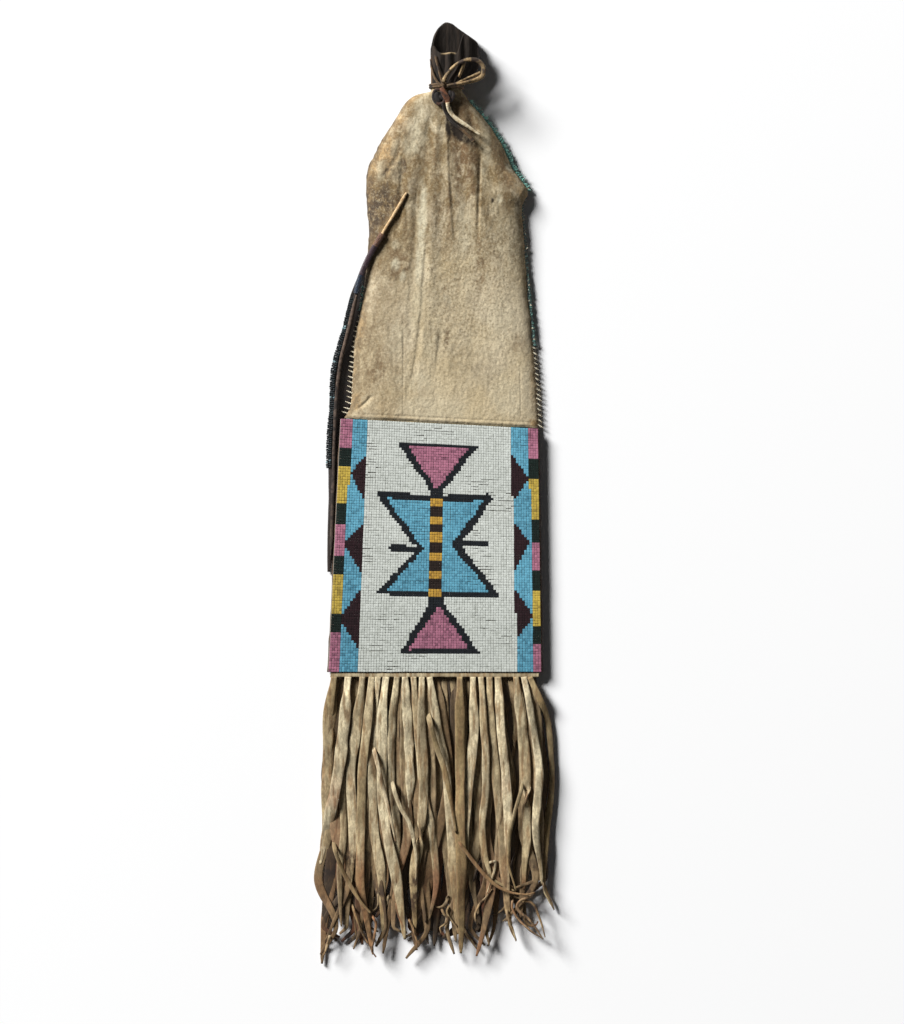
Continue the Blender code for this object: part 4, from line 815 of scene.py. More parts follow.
def makePanelHide():
    # one flat slab with rounded edges, raised under the beads: x and y from the chart,
    # z = t/2 + t/2 * s with s from a boxy oval, a shade wavy
    rows = panel["rows"]
    row = np.linspace(-0.1, rows, 130)[:, None]
    c, s = oval(72, 12.5)[0][None], oval(72, 5.0)[1][None]
    reach = panel["columns"] / 2 + 0.5 + 0.16 * softNoise(row / 3.0, np.sign(c) * 7, 66)
    x, y = onPanel(c * reach, row + 0 * c)
    half = panel["hideThickness"] / 2
    z = half + half * s + 0 * row
    z = np.where(z > half, z - 0.0001 * (1 + softNoise(row / 2.0, c * 20, 67)), z)
    under = (s > 0.5) & (np.abs(c) < 0.97) & (row > 1) & (row < rows - 0.5)
    z = z + 0.0016 * under
    # untanned hide, stiff with beads: brown and coarse at its edges, grey where it shows between the beads
    leather, tree, shader = newFinish("rawPanelHide", 0.85, specular=0.3, sheen=0.05)
    place = addNode(tree, "TexCoord").outputs["Object"]
    grain = addNode(tree, "TexNoise", {"Vector": place, "Scale": perMm(2.0), "Detail": 5.0})
    spread = addNode(tree, "TexNoise", {"Vector": place, "Scale": perMm(22.0), "Detail": 3.0})
    grain = addNode(tree, "MapRange", {0: grain, 1: 0.35, 2: 0.65})
    colour = addNode(tree, "Mix", {0: grain, 6: "#3A2C20", 7: "#5C4731"}, data_type="RGBA")
    backing = addNode(tree, "Attribute", attribute_name="under")
    for share, over in ((spread, "#463628"), (backing, "#77736A")):
        colour = addNode(tree, "Mix", {0: share, 6: colour, 7: over}, data_type="RGBA")
    bump = addNode(tree, "Bump", {"Height": grain, "Strength": 0.35, "Distance": 0.0003})
    setInputs(tree, shader, {"Base Color": colour, "Normal": bump})
    closedSkins("panelHide", [np.stack([x, y, z], axis=-1)], leather, ["panel_hide"],
                {"under": [under]})

    # loom threads between the columns of beads, grey with handling
    thread, tree, shader = newFinish("loomThread", 0.9, specular=0.2)
    setInputs(tree, shader, {"Base Color": "#A09C92"})
    between = np.arange(-panel["columns"] // 2, panel["columns"] // 2 + 1)
    row = np.linspace(0.2, rows - 0.2, 49)
    x, y = onPanel(between[:, None] + 0 * row, row[None] + 0 * between[:, None])
    z = panel["threadHeight"] + 0.00012 * (np.arange(len(row)) % 2) + 0 * x
    threads = carried(np.stack([x, y, z], axis=-1), panel["threadWide"], panel["threadTall"], 0.0, 5)
    closedSkins("loomThreads", [threads], thread)


makeBeadwork()
makePanelHide()
print("beadwork is laid")


# Upper hide, from the hem over the beads to the tie

hide = dict(
    length=0.269, hemHeight=0.0074, bodyHeight=0.0105, shoulderHeight=0.0165, seamHeight=0.0024,
    rings=330, frontPoints=250, backPoints=44,
    # share of the length, left and right seam
    outline=(
        (0.000, -0.0728, 0.0832), (0.030, -0.0690, 0.0828), (0.065, -0.0668, 0.0823),
        (0.130, -0.0661, 0.0813), (0.190, -0.0652, 0.0799), (0.250, -0.0637, 0.0783),
        (0.330, -0.0592, 0.0760), (0.370, -0.0574, 0.0748), (0.465, -0.0545, 0.0728),
        (0.560, -0.0530, 0.0712), (0.645, -0.0546, 0.0695), (0.690, -0.0554, 0.0742),
        (0.735, -0.0548, 0.0670), (0.760, -0.0535, 0.0624), (0.805, -0.0478, 0.0570),
        (0.865, -0.0390, 0.0476), (0.915, -0.0300, 0.0374), (0.955, -0.0228, 0.0276),
        (0.975, -0.0150, 0.0236), (0.986, -0.0032, 0.0216), (1.000, -0.0032, 0.0216)),
    # folds from the neck: x at the neck and at the foot, share of the length at the foot, height, half width
    folds=(
        (-0.0020, -0.0360, 0.45, 0.0007, 0.0110), (-0.0010, -0.0230, 0.50, -0.0004, 0.0060),
        (0.0030, -0.0110, 0.20, 0.0009, 0.0080), (0.0120, 0.0165, 0.34, 0.0008, 0.0080),
        (0.0190, 0.0470, 0.42, 0.0014, 0.0090), (0.0205, 0.0610, 0.60, -0.0008, 0.0060)),
    # creases in pixels of the photo: the line, drop, how far it fades to the left and to the right (mm)
    creases=(
        (((446, 100), (446.5, 130), (447, 160), (448.5, 190), (450, 215)), 0.9, 9, 1.8),
        (((481, 150), (480, 165), (479.5, 185), (478.5, 215), (478, 246)), -0.7, 1.6, 1),
        (((451, 186), (452, 205), (453.5, 225), (455, 246)), -0.45, 1.2, 4),
        (((400.5, 133), (399.5, 148), (396, 160), (388, 172), (382, 188)), -0.6, 2.6, 1.6),
        (((417, 178), (416, 205), (414, 235), (411, 285), (408, 340)), -0.35, 1.8, 5),
        (((401, 152), (402, 175), (400, 205), (396, 240)), -0.9, 2, 2.5),
        (((351, 411), (358, 408), (366, 402), (372, 395)), -1, 1.6, 2.2),
        (((428, 232), (424, 270), (421, 310), (413, 372), (405, 398)), -0.45, 1.2, 3),
        (((403.5, 328), (403.2, 370), (403, 424)), -0.35, 0.5, 0.5),
        (((520, 366), (520.6, 395), (521, 424)), -0.25, 0.6, 0.6),
        (((441, 330), (438, 350), (436, 372)), -0.35, 1.2, 1.8),
        (((526.5, 184), (521, 196), (517, 206)), 0.8, 2, 0.8)),
    # patches of each mark in pixels: middle, radii, lean in degrees, how strong
    patches=dict(
        # deep is painted shade: nearly black in deep folds, most of them under the knot
        deep=(
            (449, 118, 5, 19, 0, 1.2), (455, 128, 7, 17, -45, 1.2), (443, 96, 9, 10, 0, 0.9),
            (465, 140, 5, 13, -62, 1), (492.3, 200.5, 2.4, 3, 0, 0.9)),
        # soot patches; the one at 389, 170 is painted shade along a crease, those at 449 and 452, 112 painted
        # shade under the knot
        soot=(
            (405, 166, 3, 11, -8, 0.8), (389, 170, 2.5, 10, 50, 0.8), (382, 202, 20, 24, 10, 1),
            (372, 216, 12, 24, 0, 1), (399, 172, 8, 20, 18, 0.4), (378, 232, 14, 10, 20, 0.75),
            (413, 190, 6, 14, 10, 0.35), (449, 112, 6, 13, 0, 0.95), (452, 112, 6, 16, 0, 0.7),
            (466, 132, 10, 9, -30, 0.45), (485, 372, 22, 22, 0, 0.3), (463, 362, 30, 20, 0, 0.22),
            (452, 322, 34, 45, 0, 0.25)),
        brown=(
            (384, 208, 22, 34, 8, 0.7), (404, 128, 14, 24, 20, 0.45), (394, 150, 8, 16, 20, 0.5),
            (463, 150, 17, 52, 4, 1), (463, 108, 16, 18, 0, 0.95), (470, 170, 10, 16, 0, 0.9),
            (472, 190, 6, 20, 0, 0.85), (449, 205, 4, 34, 1, 0.75), (480, 268, 5, 34, 0, 0.75),
            (436, 160, 7, 34, 0, 0.55), (436, 215, 10, 34, 0, 0.45), (398, 262, 14, 22, -5, 0.8),
            (408, 235, 8, 30, 0, 0.6), (444, 292, 3, 8, 5, 0.6), (388, 290, 10, 20, 0, 0.45),
            (378, 366, 22, 44, 12, 0.36), (390, 150, 22, 44, 15, 0.34), (386, 202, 22, 30, 8, 0.45),
            (376, 368, 14, 22, 25, 0.8), (358, 375, 9, 36, 5, 0.45), (379, 372, 7, 14, 25, 0.8),
            (366, 395, 14, 5, 28, 0.6), (357, 350, 5, 24, 3, 0.55), (447, 338, 3, 13, 4, 0.7),
            (520, 345, 9, 14, 0, 0.45), (536, 424, 5, 3, 0, 0.9), (505, 172, 9, 24, -20, 0.8),
            (498, 150, 8, 16, -30, 0.65)),
        tan=(
            (404, 104, 9, 5, -30, 0.7), (386, 158, 11, 22, 22, 0.85), (394, 118, 14, 10, 30, 0.75),
            (376, 168, 6, 10, 20, 0.9), (405, 100, 16, 6, -25, 0.8), (361, 320, 5, 34, 3, 0.75),
            (356, 402, 6, 10, 0, 0.8), (533, 423, 9, 4, 0, 1), (510, 178, 6, 12, -30, 0.8),
            (499, 140, 5, 14, -35, 0.6), (520, 195, 5, 9, -20, 0.7), (388, 405, 16, 8, 0, 0.35),
            (530, 272, 4, 60, -1, 0.55), (534, 380, 4, 45, -1, 0.5)),
        pale=(
            (381, 167, 5, 9, 30, 0.55), (394, 149, 4, 9, 8, 0.45), (380, 176, 5, 9, 15, 0.45),
            (417, 130, 10, 28, 10, 0.7), (410, 144, 9, 14, 10, 0.6), (430, 112, 7, 10, 0, 0.35),
            (422, 215, 5, 40, 2, 1), (420, 262, 5, 32, 4, 0.85), (418, 305, 7, 30, 6, 0.45),
            (395, 264, 5, 7, 0, 0.95), (403, 277, 4, 6, 20, 0.85), (396, 245, 5, 5, 0, 0.5),
            (446, 300, 4, 7, -20, 0.6), (500, 199, 4, 5, 0, 1), (513, 240, 8, 45, 0, 0.35),
            (509, 168, 4, 6, -30, 0.95), (486, 150, 5, 34, 3, 0.45), (466, 225, 9, 30, 0, 0.4),
            (497, 225, 10, 30, 0, 0.3), (430, 408, 60, 12, 3, 0.3), (507, 395, 18, 26, 0, 0.35),
            (415, 382, 22, 12, 0, 0.35), (500, 320, 14, 26, 0, 0.25), (430, 340, 12, 26, 0, 0.3),
            (395, 340, 9, 26, 5, 0.3)),
    ),
    gatherPitch=0.0032, gatherHeight=0.0005, stitchOver=0.0042, stitchDepth=0.00028,
)


def crossSection(t, counts, left, right, low, side, high, power, evenness):
    # a closed outline across the bag: over = side + (high - side) sqrt(1 - |u|^power); under likewise
    across = np.linspace(-1, 1, counts[0])[None]
    bunched = -np.cos(np.linspace(0, np.pi, counts[0]))[None]
    front = evenness * across + (1 - evenness) * bunched + 0 * t
    back = np.cos(np.linspace(0, np.pi, counts[1] + 2))[None, 1:-1] + 0 * t
    over = side + (high - side) * np.sqrt(1 - np.minimum(np.abs(front), 1) ** power)
    under = side - (side - low) * np.sqrt(1 - np.abs(back) ** power)
    share = np.concatenate([front, back], axis=1)
    x = (left + right) / 2 + share * (right - left) / 2
    return share, x, np.concatenate([over, under], axis=1)


def hideRings(t, counts):
    # the bag's outline a share t of the way from the hem to the tie, before its fine folds:
    # y = top + t * length - slope * (x - lean), and heights that rise to the neck
    t = np.asarray(t, float)[:, None]
    stations, left, right = np.array(hide["outline"]).T
    left, right = through(stations, left, t), through(stations, right, t)
    neck, lift = ease((t - 0.87) / 0.11), ease((t - 0.955) / 0.03)
    tops = (hide["hemHeight"], hide["hemHeight"] * 1.02, hide["bodyHeight"], hide["shoulderHeight"],
            neckShape["height"] + neckShape["depth"] / 2)
    high = through((0, 0.05, 0.5, 0.9, 1), tops, t)
    low = lift * (neckShape["height"] - neckShape["depth"] / 2)
    side = hide["seamHeight"] + neck * (neckShape["height"] - hide["seamHeight"])
    share, x, z = crossSection(t, counts, left, right, low, side, high, 6 - 4 * neck, 0.85 * (1 - neck))
    slope = panel["topDrop"] / (panel["columns"] * panel["beadWidth"] - panel["narrowing"]) * (1 - t) ** 1.5
    top = panel["rows"] * panel["beadRow"] + 0.0003
    y = top + t * hide["length"] - slope * (x - panel["lean"])
    return share, x, y, z, neck


def creaseAt(line, px, py):
    # signed distance to the right of a crease, in pixels, and how far it has faded in past its two ends
    line = np.array(line, float)
    xs, ys = line[np.argsort(line[:, 1])].T
    spread = ys[-1] - ys[0]
    fromTop, toFoot = py - ys[0] + 0.05 * spread, ys[-1] + 0.05 * spread - py
    over = ease(fromTop / (0.25 * spread)) * ease(toFoot / (0.35 * spread))
    return px - through(ys, xs, np.clip(py, ys[0], ys[-1])), over


def hideRelief(t, x, y, px, py):
    # folds, gathers and creases as one height over the smooth bag, and a mask of painted shade that is
    # strongest deep in a crease
    relief, crease = np.zeros_like(x), np.zeros_like(x)
    for neckX, footX, foot, height, width in hide["folds"]:
        # a ridge or valley that narrows and gathers as it climbs: height * exp(-(offset / width)^2)
        along = (t - foot) / (1 - foot)
        line = footX + (neckX - footX) * np.clip(along, 0, 1) ** 0.8
        narrow = width * (1 - 0.6 * ease(along))
        relief += height * ease((t - foot) / 0.25) * np.exp(-((x - line) / narrow) ** 2)
    pitch = hide["gatherPitch"] * (1 - 0.5 * ease((t - 0.85) / 0.15))
    wave = np.sin((x - tieMiddle[0]) / pitch * (1 + 0.15 * softNoise(t * 4, 0, 70)))
    relief += hide["gatherHeight"] * ease((t - 0.88) / 0.1) * wave
    for line, drop, leftFade, rightFade in hide["creases"]:
        off, over = creaseAt(line, px, py)
        off = off * photoScale * 1000
        relief += drop / 1000 * over * np.exp(-(off / np.where(off < 0, leftFade, rightFade)) ** 2)
        floor = np.exp(-((off - (0.7 if drop > 0 else 0.0)) / 0.8) ** 2)
        crease = np.maximum(crease, over * floor * min(1.0, abs(drop) / 1.1))
    # slack skin: long soft ripples that run down the bag, then small puckers
    relief += 0.00032 * clouds(x / 0.012, y / 0.06, 71) + 0.00018 * clouds(x / 0.005, y / 0.01, 75)
    relief += 0.00012 * softNoise(x / 0.0016, y / 0.0022, 79)
    return relief, crease


def hideMarks(share, px, py, crease):
    # how strongly each mark shows: the strongest of its patches, of where the bag wears and soils, and of
    # where shade is painted
    marks = {name: np.zeros_like(px) for name in ("soot", "brown", "tan", "pale", "deep")}

    def stain(mark, strength):
        marks[mark] = np.maximum(marks[mark], strength)

    ragged = 0.45 * clouds(px / 7, py / 10, 85)
    for mark, patches in hide["patches"].items():
        for cx, cy, rx, ry, lean, strength in patches:
            c, s = np.cos(np.radians(lean)), np.sin(np.radians(lean))
            dx, dy = (px - cx) * c + (py - cy) * s, (py - cy) * c - (px - cx) * s
            stain(mark, strength * ease((1.25 + ragged - np.hypot(dx / rx, dy / ry)) / 0.9))
    sooty = 0.2 * ease((clouds(px / 26, py / 34, 89) - 0.05) / 0.5) * ease((390 - py) / 90)
    marks["soot"] = np.clip(marks["soot"] + sooty, 0, 1)
    # painted shade in the creases, in the soot colour
    stain("soot", 0.6 * crease)
    # the left edge turns under into painted shade; the brown on the left is partly handling and
    # partly painted shade that tones down the slopes facing the lamp
    stain("deep", 0.65 * ease((-share - 0.962) / 0.022) * ease((340 - py) / 60))
    stain("deep", 0.3 * ease((-share - 0.9) / 0.06))
    stain("brown", 0.9 * ease((-share - 0.86) / 0.1) * ease((300 - py) / 60) * ease((py - 150) / 40))
    stain("brown", 0.45 * ease((-share - 0.7) / 0.15))
    stain("brown", 0.32 * ease((425 - px) / 40))
    stain("brown", 0.35 * ease((clouds(px / 9, py / 40, 93) - 0.15) / 0.5))
    # both seams
    stain("tan", 0.5 * ease((np.abs(share) - 0.93) / 0.07))
    stain("brown", 0.75 * ease((np.abs(share) - 0.965) / 0.035))
    # speckled where the skin's grain is rubbed: the middle and right of the upper bag
    speckle = ease((py - 200) / 60) * ease((400 - py) / 70) * ease((px - 405) / 30) * ease((540 - px) / 40)
    speckle = np.clip(speckle * 0.9 + 0.45 * ease((300 - py) / 80), 0, 1)
    marks["speckle"] = np.maximum(0.85 * speckle, 0.45)
    marks["handled"] = 0.14 + 0.84 * ease((310 - py) / 110) + 0.35 * ease((425 - px) / 40)
    return marks


def makeHide():
    # z = rings + relief * (1 - |share|^8), less a hem and a stitched groove along the foot
    t = np.concatenate([np.linspace(0, 0.03, 14)[:-1], np.linspace(0.03, 1, hide["rings"] - 13)])
    counts = (hide["frontPoints"], hide["backPoints"])
    share, x, y, z, neck = hideRings(t, counts)
    t = t[:, None]
    front = (np.arange(x.shape[1]) < counts[0])[None]
    inner = 1 - np.abs(share) ** 8
    px, py = pixelOf(x, y)
    relief, crease = hideRelief(t, x, y, px, py)
    fold = np.where(relief > 0, relief * (1 - neck), relief * (1 - 0.6 * neck))
    hem = 0.0012 * (1 - ease(t / 0.012)) ** 2
    z = np.where(front, np.maximum(z + fold * inner - hem * inner, hide["seamHeight"] * 0.9), z)
    # a stitched hem: a shallow groove a few millimetres over the edge
    groove = np.exp(-((t * hide["length"] - hide["stitchOver"]) / 0.0007) ** 2)
    z = z - np.where(front, hide["stitchDepth"] * groove * inner, 0)
    uneven = 0.0004 * softNoise(x / 0.01, 1.5, 81) + 0.0002 * softNoise(x / 0.0025, 1.5, 82)
    y = y + uneven * (1 - ease(t / 0.02))
    # seam edges wander a little, as cut skin does
    side = np.sign(share)
    wander = 0.0005 * softNoise(t * 34, side * 3, 83) + 0.0003 * softNoise(t * 90, side * 5, 84)
    x = x + side * wander * ease((np.abs(share) - 0.9) / 0.1) * (1 - neck)
    marks = hideMarks(share, px, py, crease)
    skin = np.stack([x, y, z], axis=-1)
    closedSkins("upperHide", [skin], smokedHide("smokedHide"), ["hide_body"],
                {name: [value] for name, value in marks.items()})
    return skin[:, :counts[0]].reshape(-1, 3)


def smokedHide(name):
    # brain-tanned hide, smoked and handled: a dull nap, rubbed pale on ridges, with soot and grease in its
    # grain, and painted shade in its creases and in the folds under the knot
    made, tree, shader = newFinish(name, 0.9, specular=0.2, sheen=0.08)
    setInputs(tree, shader, {"Sheen Roughness": 0.6})
    place = addNode(tree, "TexCoord").outputs["Object"]
    # the real nap and grain are finer than a pixel, so they are drawn as coarse as they need to show
    drawn = addNode(tree, "Mapping", {"Vector": place, "Scale": (1.0, 0.72, 1.0)})
    nap, fuzz, grain, mottle, broad, pits = (
        addNode(tree, "TexNoise", {"Vector": at, "Scale": perMm(size), "Detail": detail, "Roughness": rough,
                                   "Distortion": bend})
        for at, size, detail, rough, bend in (
            (place, 1.5, 3.0, 0.65, 0.0), (place, 2.6, 6.0, 0.70, 0.0), (drawn, 5.0, 7.0, 0.66, 0.4),
            (drawn, 13.0, 8.0, 0.74, 0.5), (drawn, 34.0, 4.0, 0.5, 0.6), (place, 1.9, 4.0, 0.75, 0.0)))
    soot, brown, tan, pale, deep, speckle, handled = (
        addNode(tree, "Attribute", attribute_name=mark)
        for mark in ("soot", "brown", "tan", "pale", "deep", "speckle", "handled"))
    broad = addNode(tree, "MapRange", {0: broad, 1: 0.36, 2: 0.64})
    colour = addNode(tree, "Mix", {0: broad, 6: "#C5B38F", 7: "#D4C5A6"}, data_type="RGBA")
    # a colour lies where its mark does, by a noise that goes from one value to another over a range of it
    for mark, noise, start, end, least, most, over in (
            (handled, mottle, 0.62, 0.44, 0.0, 1.0, "#85704E"),  # clouds of handling with ragged edges
            (tan, grain, 0.42, 0.54, 0.25, 1.0, "#B7986C"),
            (brown, grain, 0.46, 0.58, 1.0, 0.25, "#725A3E"),
            (pale, grain, 0.40, 0.54, 0.45, 1.0, "#CFC5A8"),
            # soot also carries the painted shade in creases and under the knot
            (soot, grain, 0.44, 0.57, 1.0, 0.15, "#4B3E32"),
            (speckle, pits, 0.40, 0.47, 0.70, 0.0, "#786546"),  # dark pits between the raised grain
            (speckle, pits, 0.53, 0.62, 0.0, 0.60, "#D9CCAA"),  # and the light rubbed grain itself
            (deep, grain, 0.42, 0.60, 1.2, 0.7, "#281F16")):  # nearly black in the folds under the knot
        here = addNode(tree, "MapRange", {0: noise, 1: start, 2: end, 3: least, 4: most})
        here = addNode(tree, "Math", {0: mark, 1: here}, operation="MULTIPLY", use_clamp=True)
        colour = addNode(tree, "Mix", {0: here, 6: colour, 7: over}, data_type="RGBA")
    value = addNode(tree, "MapRange", {0: nap, 1: 0.3, 2: 0.7, 3: 0.82, 4: 1.18})
    colour = addNode(tree, "HueSaturation", {"Color": colour.outputs[2], "Value": value})
    raised = addNode(tree, "Math", {0: grain, 1: fuzz}, operation="ADD")
    bump = addNode(tree, "Bump", {"Height": raised, "Strength": 0.5, "Distance": 0.0006})
    bump = addNode(tree, "Bump", {"Height": nap, "Strength": 0.35, "Distance": 0.0003, "Normal": bump})
    setInputs(tree, shader, {"Base Color": colour, "Normal": bump})
    return made


# Gathered mouth over the tie

mouth = dict(
    front=0.024, left=-0.0036, right=0.035, depth=0.0205, wall=0.0018, floor=0.28,
    pleats=5, pleatDepth=0.0014, rings=90, frontPoints=110, backPoints=90,
    # round the lip: share of the height, and how far in; then the back lip's height across the mouth
    lipRolls=((1.012, 0.2), (1.018, 0.5), (1.012, 0.8)),
    backLip=(
        (-1.00, 0.0300), (-0.86, 0.0414), (-0.65, 0.0478), (-0.36, 0.0513), (-0.11, 0.0502), (0.06, 0.0478),
        (0.43, 0.0430), (0.80, 0.0380), (0.95, 0.0350), (1.00, 0.0245)),
)


def mouthRings(v, inset):
    # the mouth's outline a share v of the way from the tie to its lip; inset 1 is its inner face,
    # 0.5 the wall's middle
    v, inset = np.asarray(v, float)[:, None], np.asarray(inset, float)[:, None]
    flare = ease((v - 0.11) / 0.8)
    left = neckShape["left"] + flare * (mouth["left"] - neckShape["left"])
    right = neckShape["right"] + ease((v - 0.02) / 0.62) * (mouth["right"] - neckShape["right"])
    low = (neckShape["height"] - neckShape["depth"] / 2) * (1 - ease((v - 0.12) / 0.3))
    top = neckShape["height"] + neckShape["depth"] / 2
    high = top + flare * (mouth["depth"] - top)
    side = neckShape["height"] + flare * (mouth["depth"] / 2 - neckShape["height"])
    counts = (mouth["frontPoints"], mouth["backPoints"])
    share, x, z = crossSection(v, counts, left, right, low, side, high, 2 + flare, 0.0)
    front = (np.arange(x.shape[1]) < counts[0])[None]
    pleat = (1 - np.cos(2 * np.pi * mouth["pleats"] * (share + 1) / 2)) / 2
    z = z - np.where(front, mouth["pleatDepth"] * (0.4 + 0.6 * flare) * pleat * (1 - share ** 4), 0)
    fine = 0.00035 * ease(v / 0.15) * (1 - share ** 6) * softNoise(share * 11 + 0 * v, v * 1.4, 101)
    z = z + np.where(front, fine, 0.6 * fine)
    lips = np.array(mouth["backLip"])
    lip = through(lips[:, 0], lips[:, 1], share)
    arch = mouth["front"] + 0.0018 * np.cos(np.pi * (share + 0.15))
    frontReach = arch + (lip - arch) * np.maximum(np.abs(share) ** 6, 0.86 * ease((share - 0.08) / 0.34))
    reach = np.where(front, frontReach, lip)
    middleX, middleZ = (left + right) / 2, (low + high) / 2
    x = middleX + (x - middleX) * (1 - inset * 2 * mouth["wall"] / (right - left))
    z = np.maximum(middleZ + (z - middleZ) * (1 - inset * 2 * mouth["wall"] / (high - low)), 0)
    y = tieMiddle[1] + 0.00015 + v * reach
    return share, front, x, y, z


def mouthFinish():
    # the same hide, stiff and near-black: partly soot, partly painted shade of its hollow; tan at its left
    # edge, its ribs a little paler, and a painted highlight along its front lip
    made, tree, shader = newFinish("sootAndShadeMouthHide", 0.85, specular=0.15)
    place = addNode(tree, "TexCoord").outputs["Object"]
    drawn = addNode(tree, "Mapping", {"Vector": place, "Scale": (1.0, 0.22, 1.0)})
    grain = addNode(tree, "TexNoise", {"Vector": drawn, "Scale": perMm(2.2), "Detail": 5.0})
    edge, lip, rib = (addNode(tree, "Attribute", attribute_name=mark) for mark in ("edge", "lip", "rib"))
    grain = addNode(tree, "MapRange", {0: grain, 1: 0.35, 2: 0.66})
    # the near-black base is partly soot and partly painted shade of the hollow
    colour = addNode(tree, "Mix", {0: grain, 6: "#15120F", 7: "#2B2520"}, data_type="RGBA")
    rib = addNode(tree, "Math", {0: rib, 1: 0.55}, operation="MULTIPLY")
    for share, over in ((rib, "#3A312A"), (edge, "#5A432B"), (lip, "#A38D6C")):
        colour = addNode(tree, "Mix", {0: share, 6: colour, 7: over}, data_type="RGBA")
    bump = addNode(tree, "Bump", {"Height": grain, "Strength": 0.5, "Distance": 0.0004})
    setInputs(tree, shader, {"Base Color": colour, "Normal": bump})
    return made


def makeMouth():
    # up the outside, over the rolled lip and down the inside to the gathers that close it
    out = np.linspace(0, 1, mouth["rings"])
    back = np.linspace(1, mouth["floor"], mouth["rings"] - 20)
    overLip, inLip = np.array(mouth["lipRolls"]).T
    v = np.concatenate([out, overLip, back])
    inset = np.concatenate([0 * out, inLip, 0 * back + 1])
    share, front, x, y, z = mouthRings(v, inset)
    v, inset = v[:, None], inset[:, None]
    leftEdge = ease((-share - 0.9) / 0.08) * ease((0.9 - v) / 0.5)
    # a painted highlight along the front lip
    worn = ease((0.35 - np.abs(share + 0.26)) / 0.15) * ease((v - 0.95) / 0.04)
    lipHighlight = 0.8 * worn * front * (inset < 0.9)
    rib = ease((softNoise(share * 16 + 0 * v, v * 0.8, 103) - 0.1) / 0.5)
    closedSkins("gatheredMouth", [np.stack([x, y, z], axis=-1)], mouthFinish(),
                ["gathered_mouth"], {"edge": [leftEdge], "lip": [lipHighlight], "rib": [rib]})


skin = makeHide()
makeMouth()
print("hides are in place")
makePendant(skin)
print("pendant is on")


# Beads along the side seams

seams = dict(
    beadSize=0.0015, beadThickness=0.0011, rowPitch=0.00145, toothPitch=0.0041, toothThickness=0.0014,
    toothBeads=(1.0, 0.93, 0.8, 0.5),  # each bead of a tooth is smaller than the one before
    lowest=0.0009, rowLowest=0.0012,   # no bead's middle lies lower over the floor
    # name, side, lowest and highest y over the hem, where the teeth end, their first and last length, their
    # slope, and the node that the beads replace
    runs=(("leftSeam", -1, 0.004, 0.106, 0.086, (0.0056, 0.002), 0.38, "left_edge_beads"),
          ("rightLowerSeam", 1, 0.003, 0.124, 0.066, (0.0044, 0.0030), -0.62, "right_lower_edge_beads"),
          ("rightUpperSeam", 1, 0.191, 0.262, 0.191, (0.0, 0.0), 0.6, "right_upper_edge_beads"),
          ("rightMiddleSeam", 1, 0.124, 0.186, 0.124, (0.0, 0.0), 0.6, None)),
    # strings that bristle at all slants, with a node to stand for and without: pitch, length and thickness
    thickBristle=((0.0017, 0.0042, 0.0013), (0.0023, 0.003, 0.0013)),
    thinBristle=((0.0026, 0.0026, 0.0009),),
)


def seamLine(side, up):
    # x, y and z of a side seam at a height over the hem's own corner
    share, x, y, z, neck = hideRings(np.linspace(0, 1, 400), (3, 1))
    place = 0 if side < 0 else 2
    run = y[:, place] - y[0, place]
    return np.interp(up, run, x[:, place]), y[0, place] + up, np.interp(up, run, z[:, place])


def seamTeeth(rng, side, low, high, pitch, lengths, slope, spread, thick):
    # strings of beads that stand out from the seam: middle = seam + out * (side, slant, lift)
    root = np.arange(low, high, pitch)
    root = root + rng.uniform(-0.1, 0.1, len(root)) * pitch
    reach = lengths[0] + (lengths[1] - lengths[0]) * (root - low) / (high - low)
    reach = reach * rng.uniform(0.9 - 0.25 * spread, 1.1, len(root))
    slant = slope + rng.uniform(-spread, spread, len(root))
    lift = rng.uniform(-0.1, 0.6 * spread, len(root))
    x, y, z = seamLine(side, root)
    ahead = np.column_stack([side + 0 * root, slant, lift])
    count = len(seams["toothBeads"])
    shapes, tones = [], []
    for k, size in enumerate(seams["toothBeads"]):
        out = reach * (k - 0.2) / count
        middles = np.column_stack([x + side * out, y + out * slant,
                                   np.maximum(z + 0.0005 + lift * out, seams["lowest"])])
        shapes.append(beadShapes(middles, ahead, reach / count * 1.08, thick * size, 7))
        tones.append(np.clip(rng.beta(3, 1.3, len(root)) - 0.08 * k, 0, 1))
    return np.concatenate(shapes), np.concatenate(tones)


def seamRow(rng, side, low, high, bristle):
    # short bead stitches all along the seam; bristle is how far they stray from straight outwards
    pitch = seams["rowPitch"]
    up = np.concatenate([np.arange(low, high, pitch) + shift for shift in (0.0, pitch / 2)])
    up = up + rng.uniform(-0.0003, 0.0003, len(up))
    count = len(up)
    x, y, z = seamLine(side, up)
    way = rng.normal(0.25, 0.2 + bristle, count)
    reach = seams["beadSize"] * rng.uniform(0.8, 1.1 + bristle, count)
    ahead = np.column_stack([side * np.cos(way), np.sin(way), rng.uniform(-0.1, 0.35, count)])
    out = 0.0002 + 0.0007 * (np.arange(count) >= count // 2) + rng.uniform(0, 0.0004, count)
    middles = np.column_stack([x + side * out, y, z + rng.uniform(0.0, 0.0006, count)])
    middles = middles + ahead * reach[:, None] * 0.35
    middles[:, 2] = np.maximum(middles[:, 2], seams["rowLowest"])
    shapes = beadShapes(middles, ahead, reach, seams["beadThickness"] * rng.uniform(0.8, 1.15, count), 7)
    return shapes, np.clip(rng.beta(0.8, 1.6, count), 0, 1)


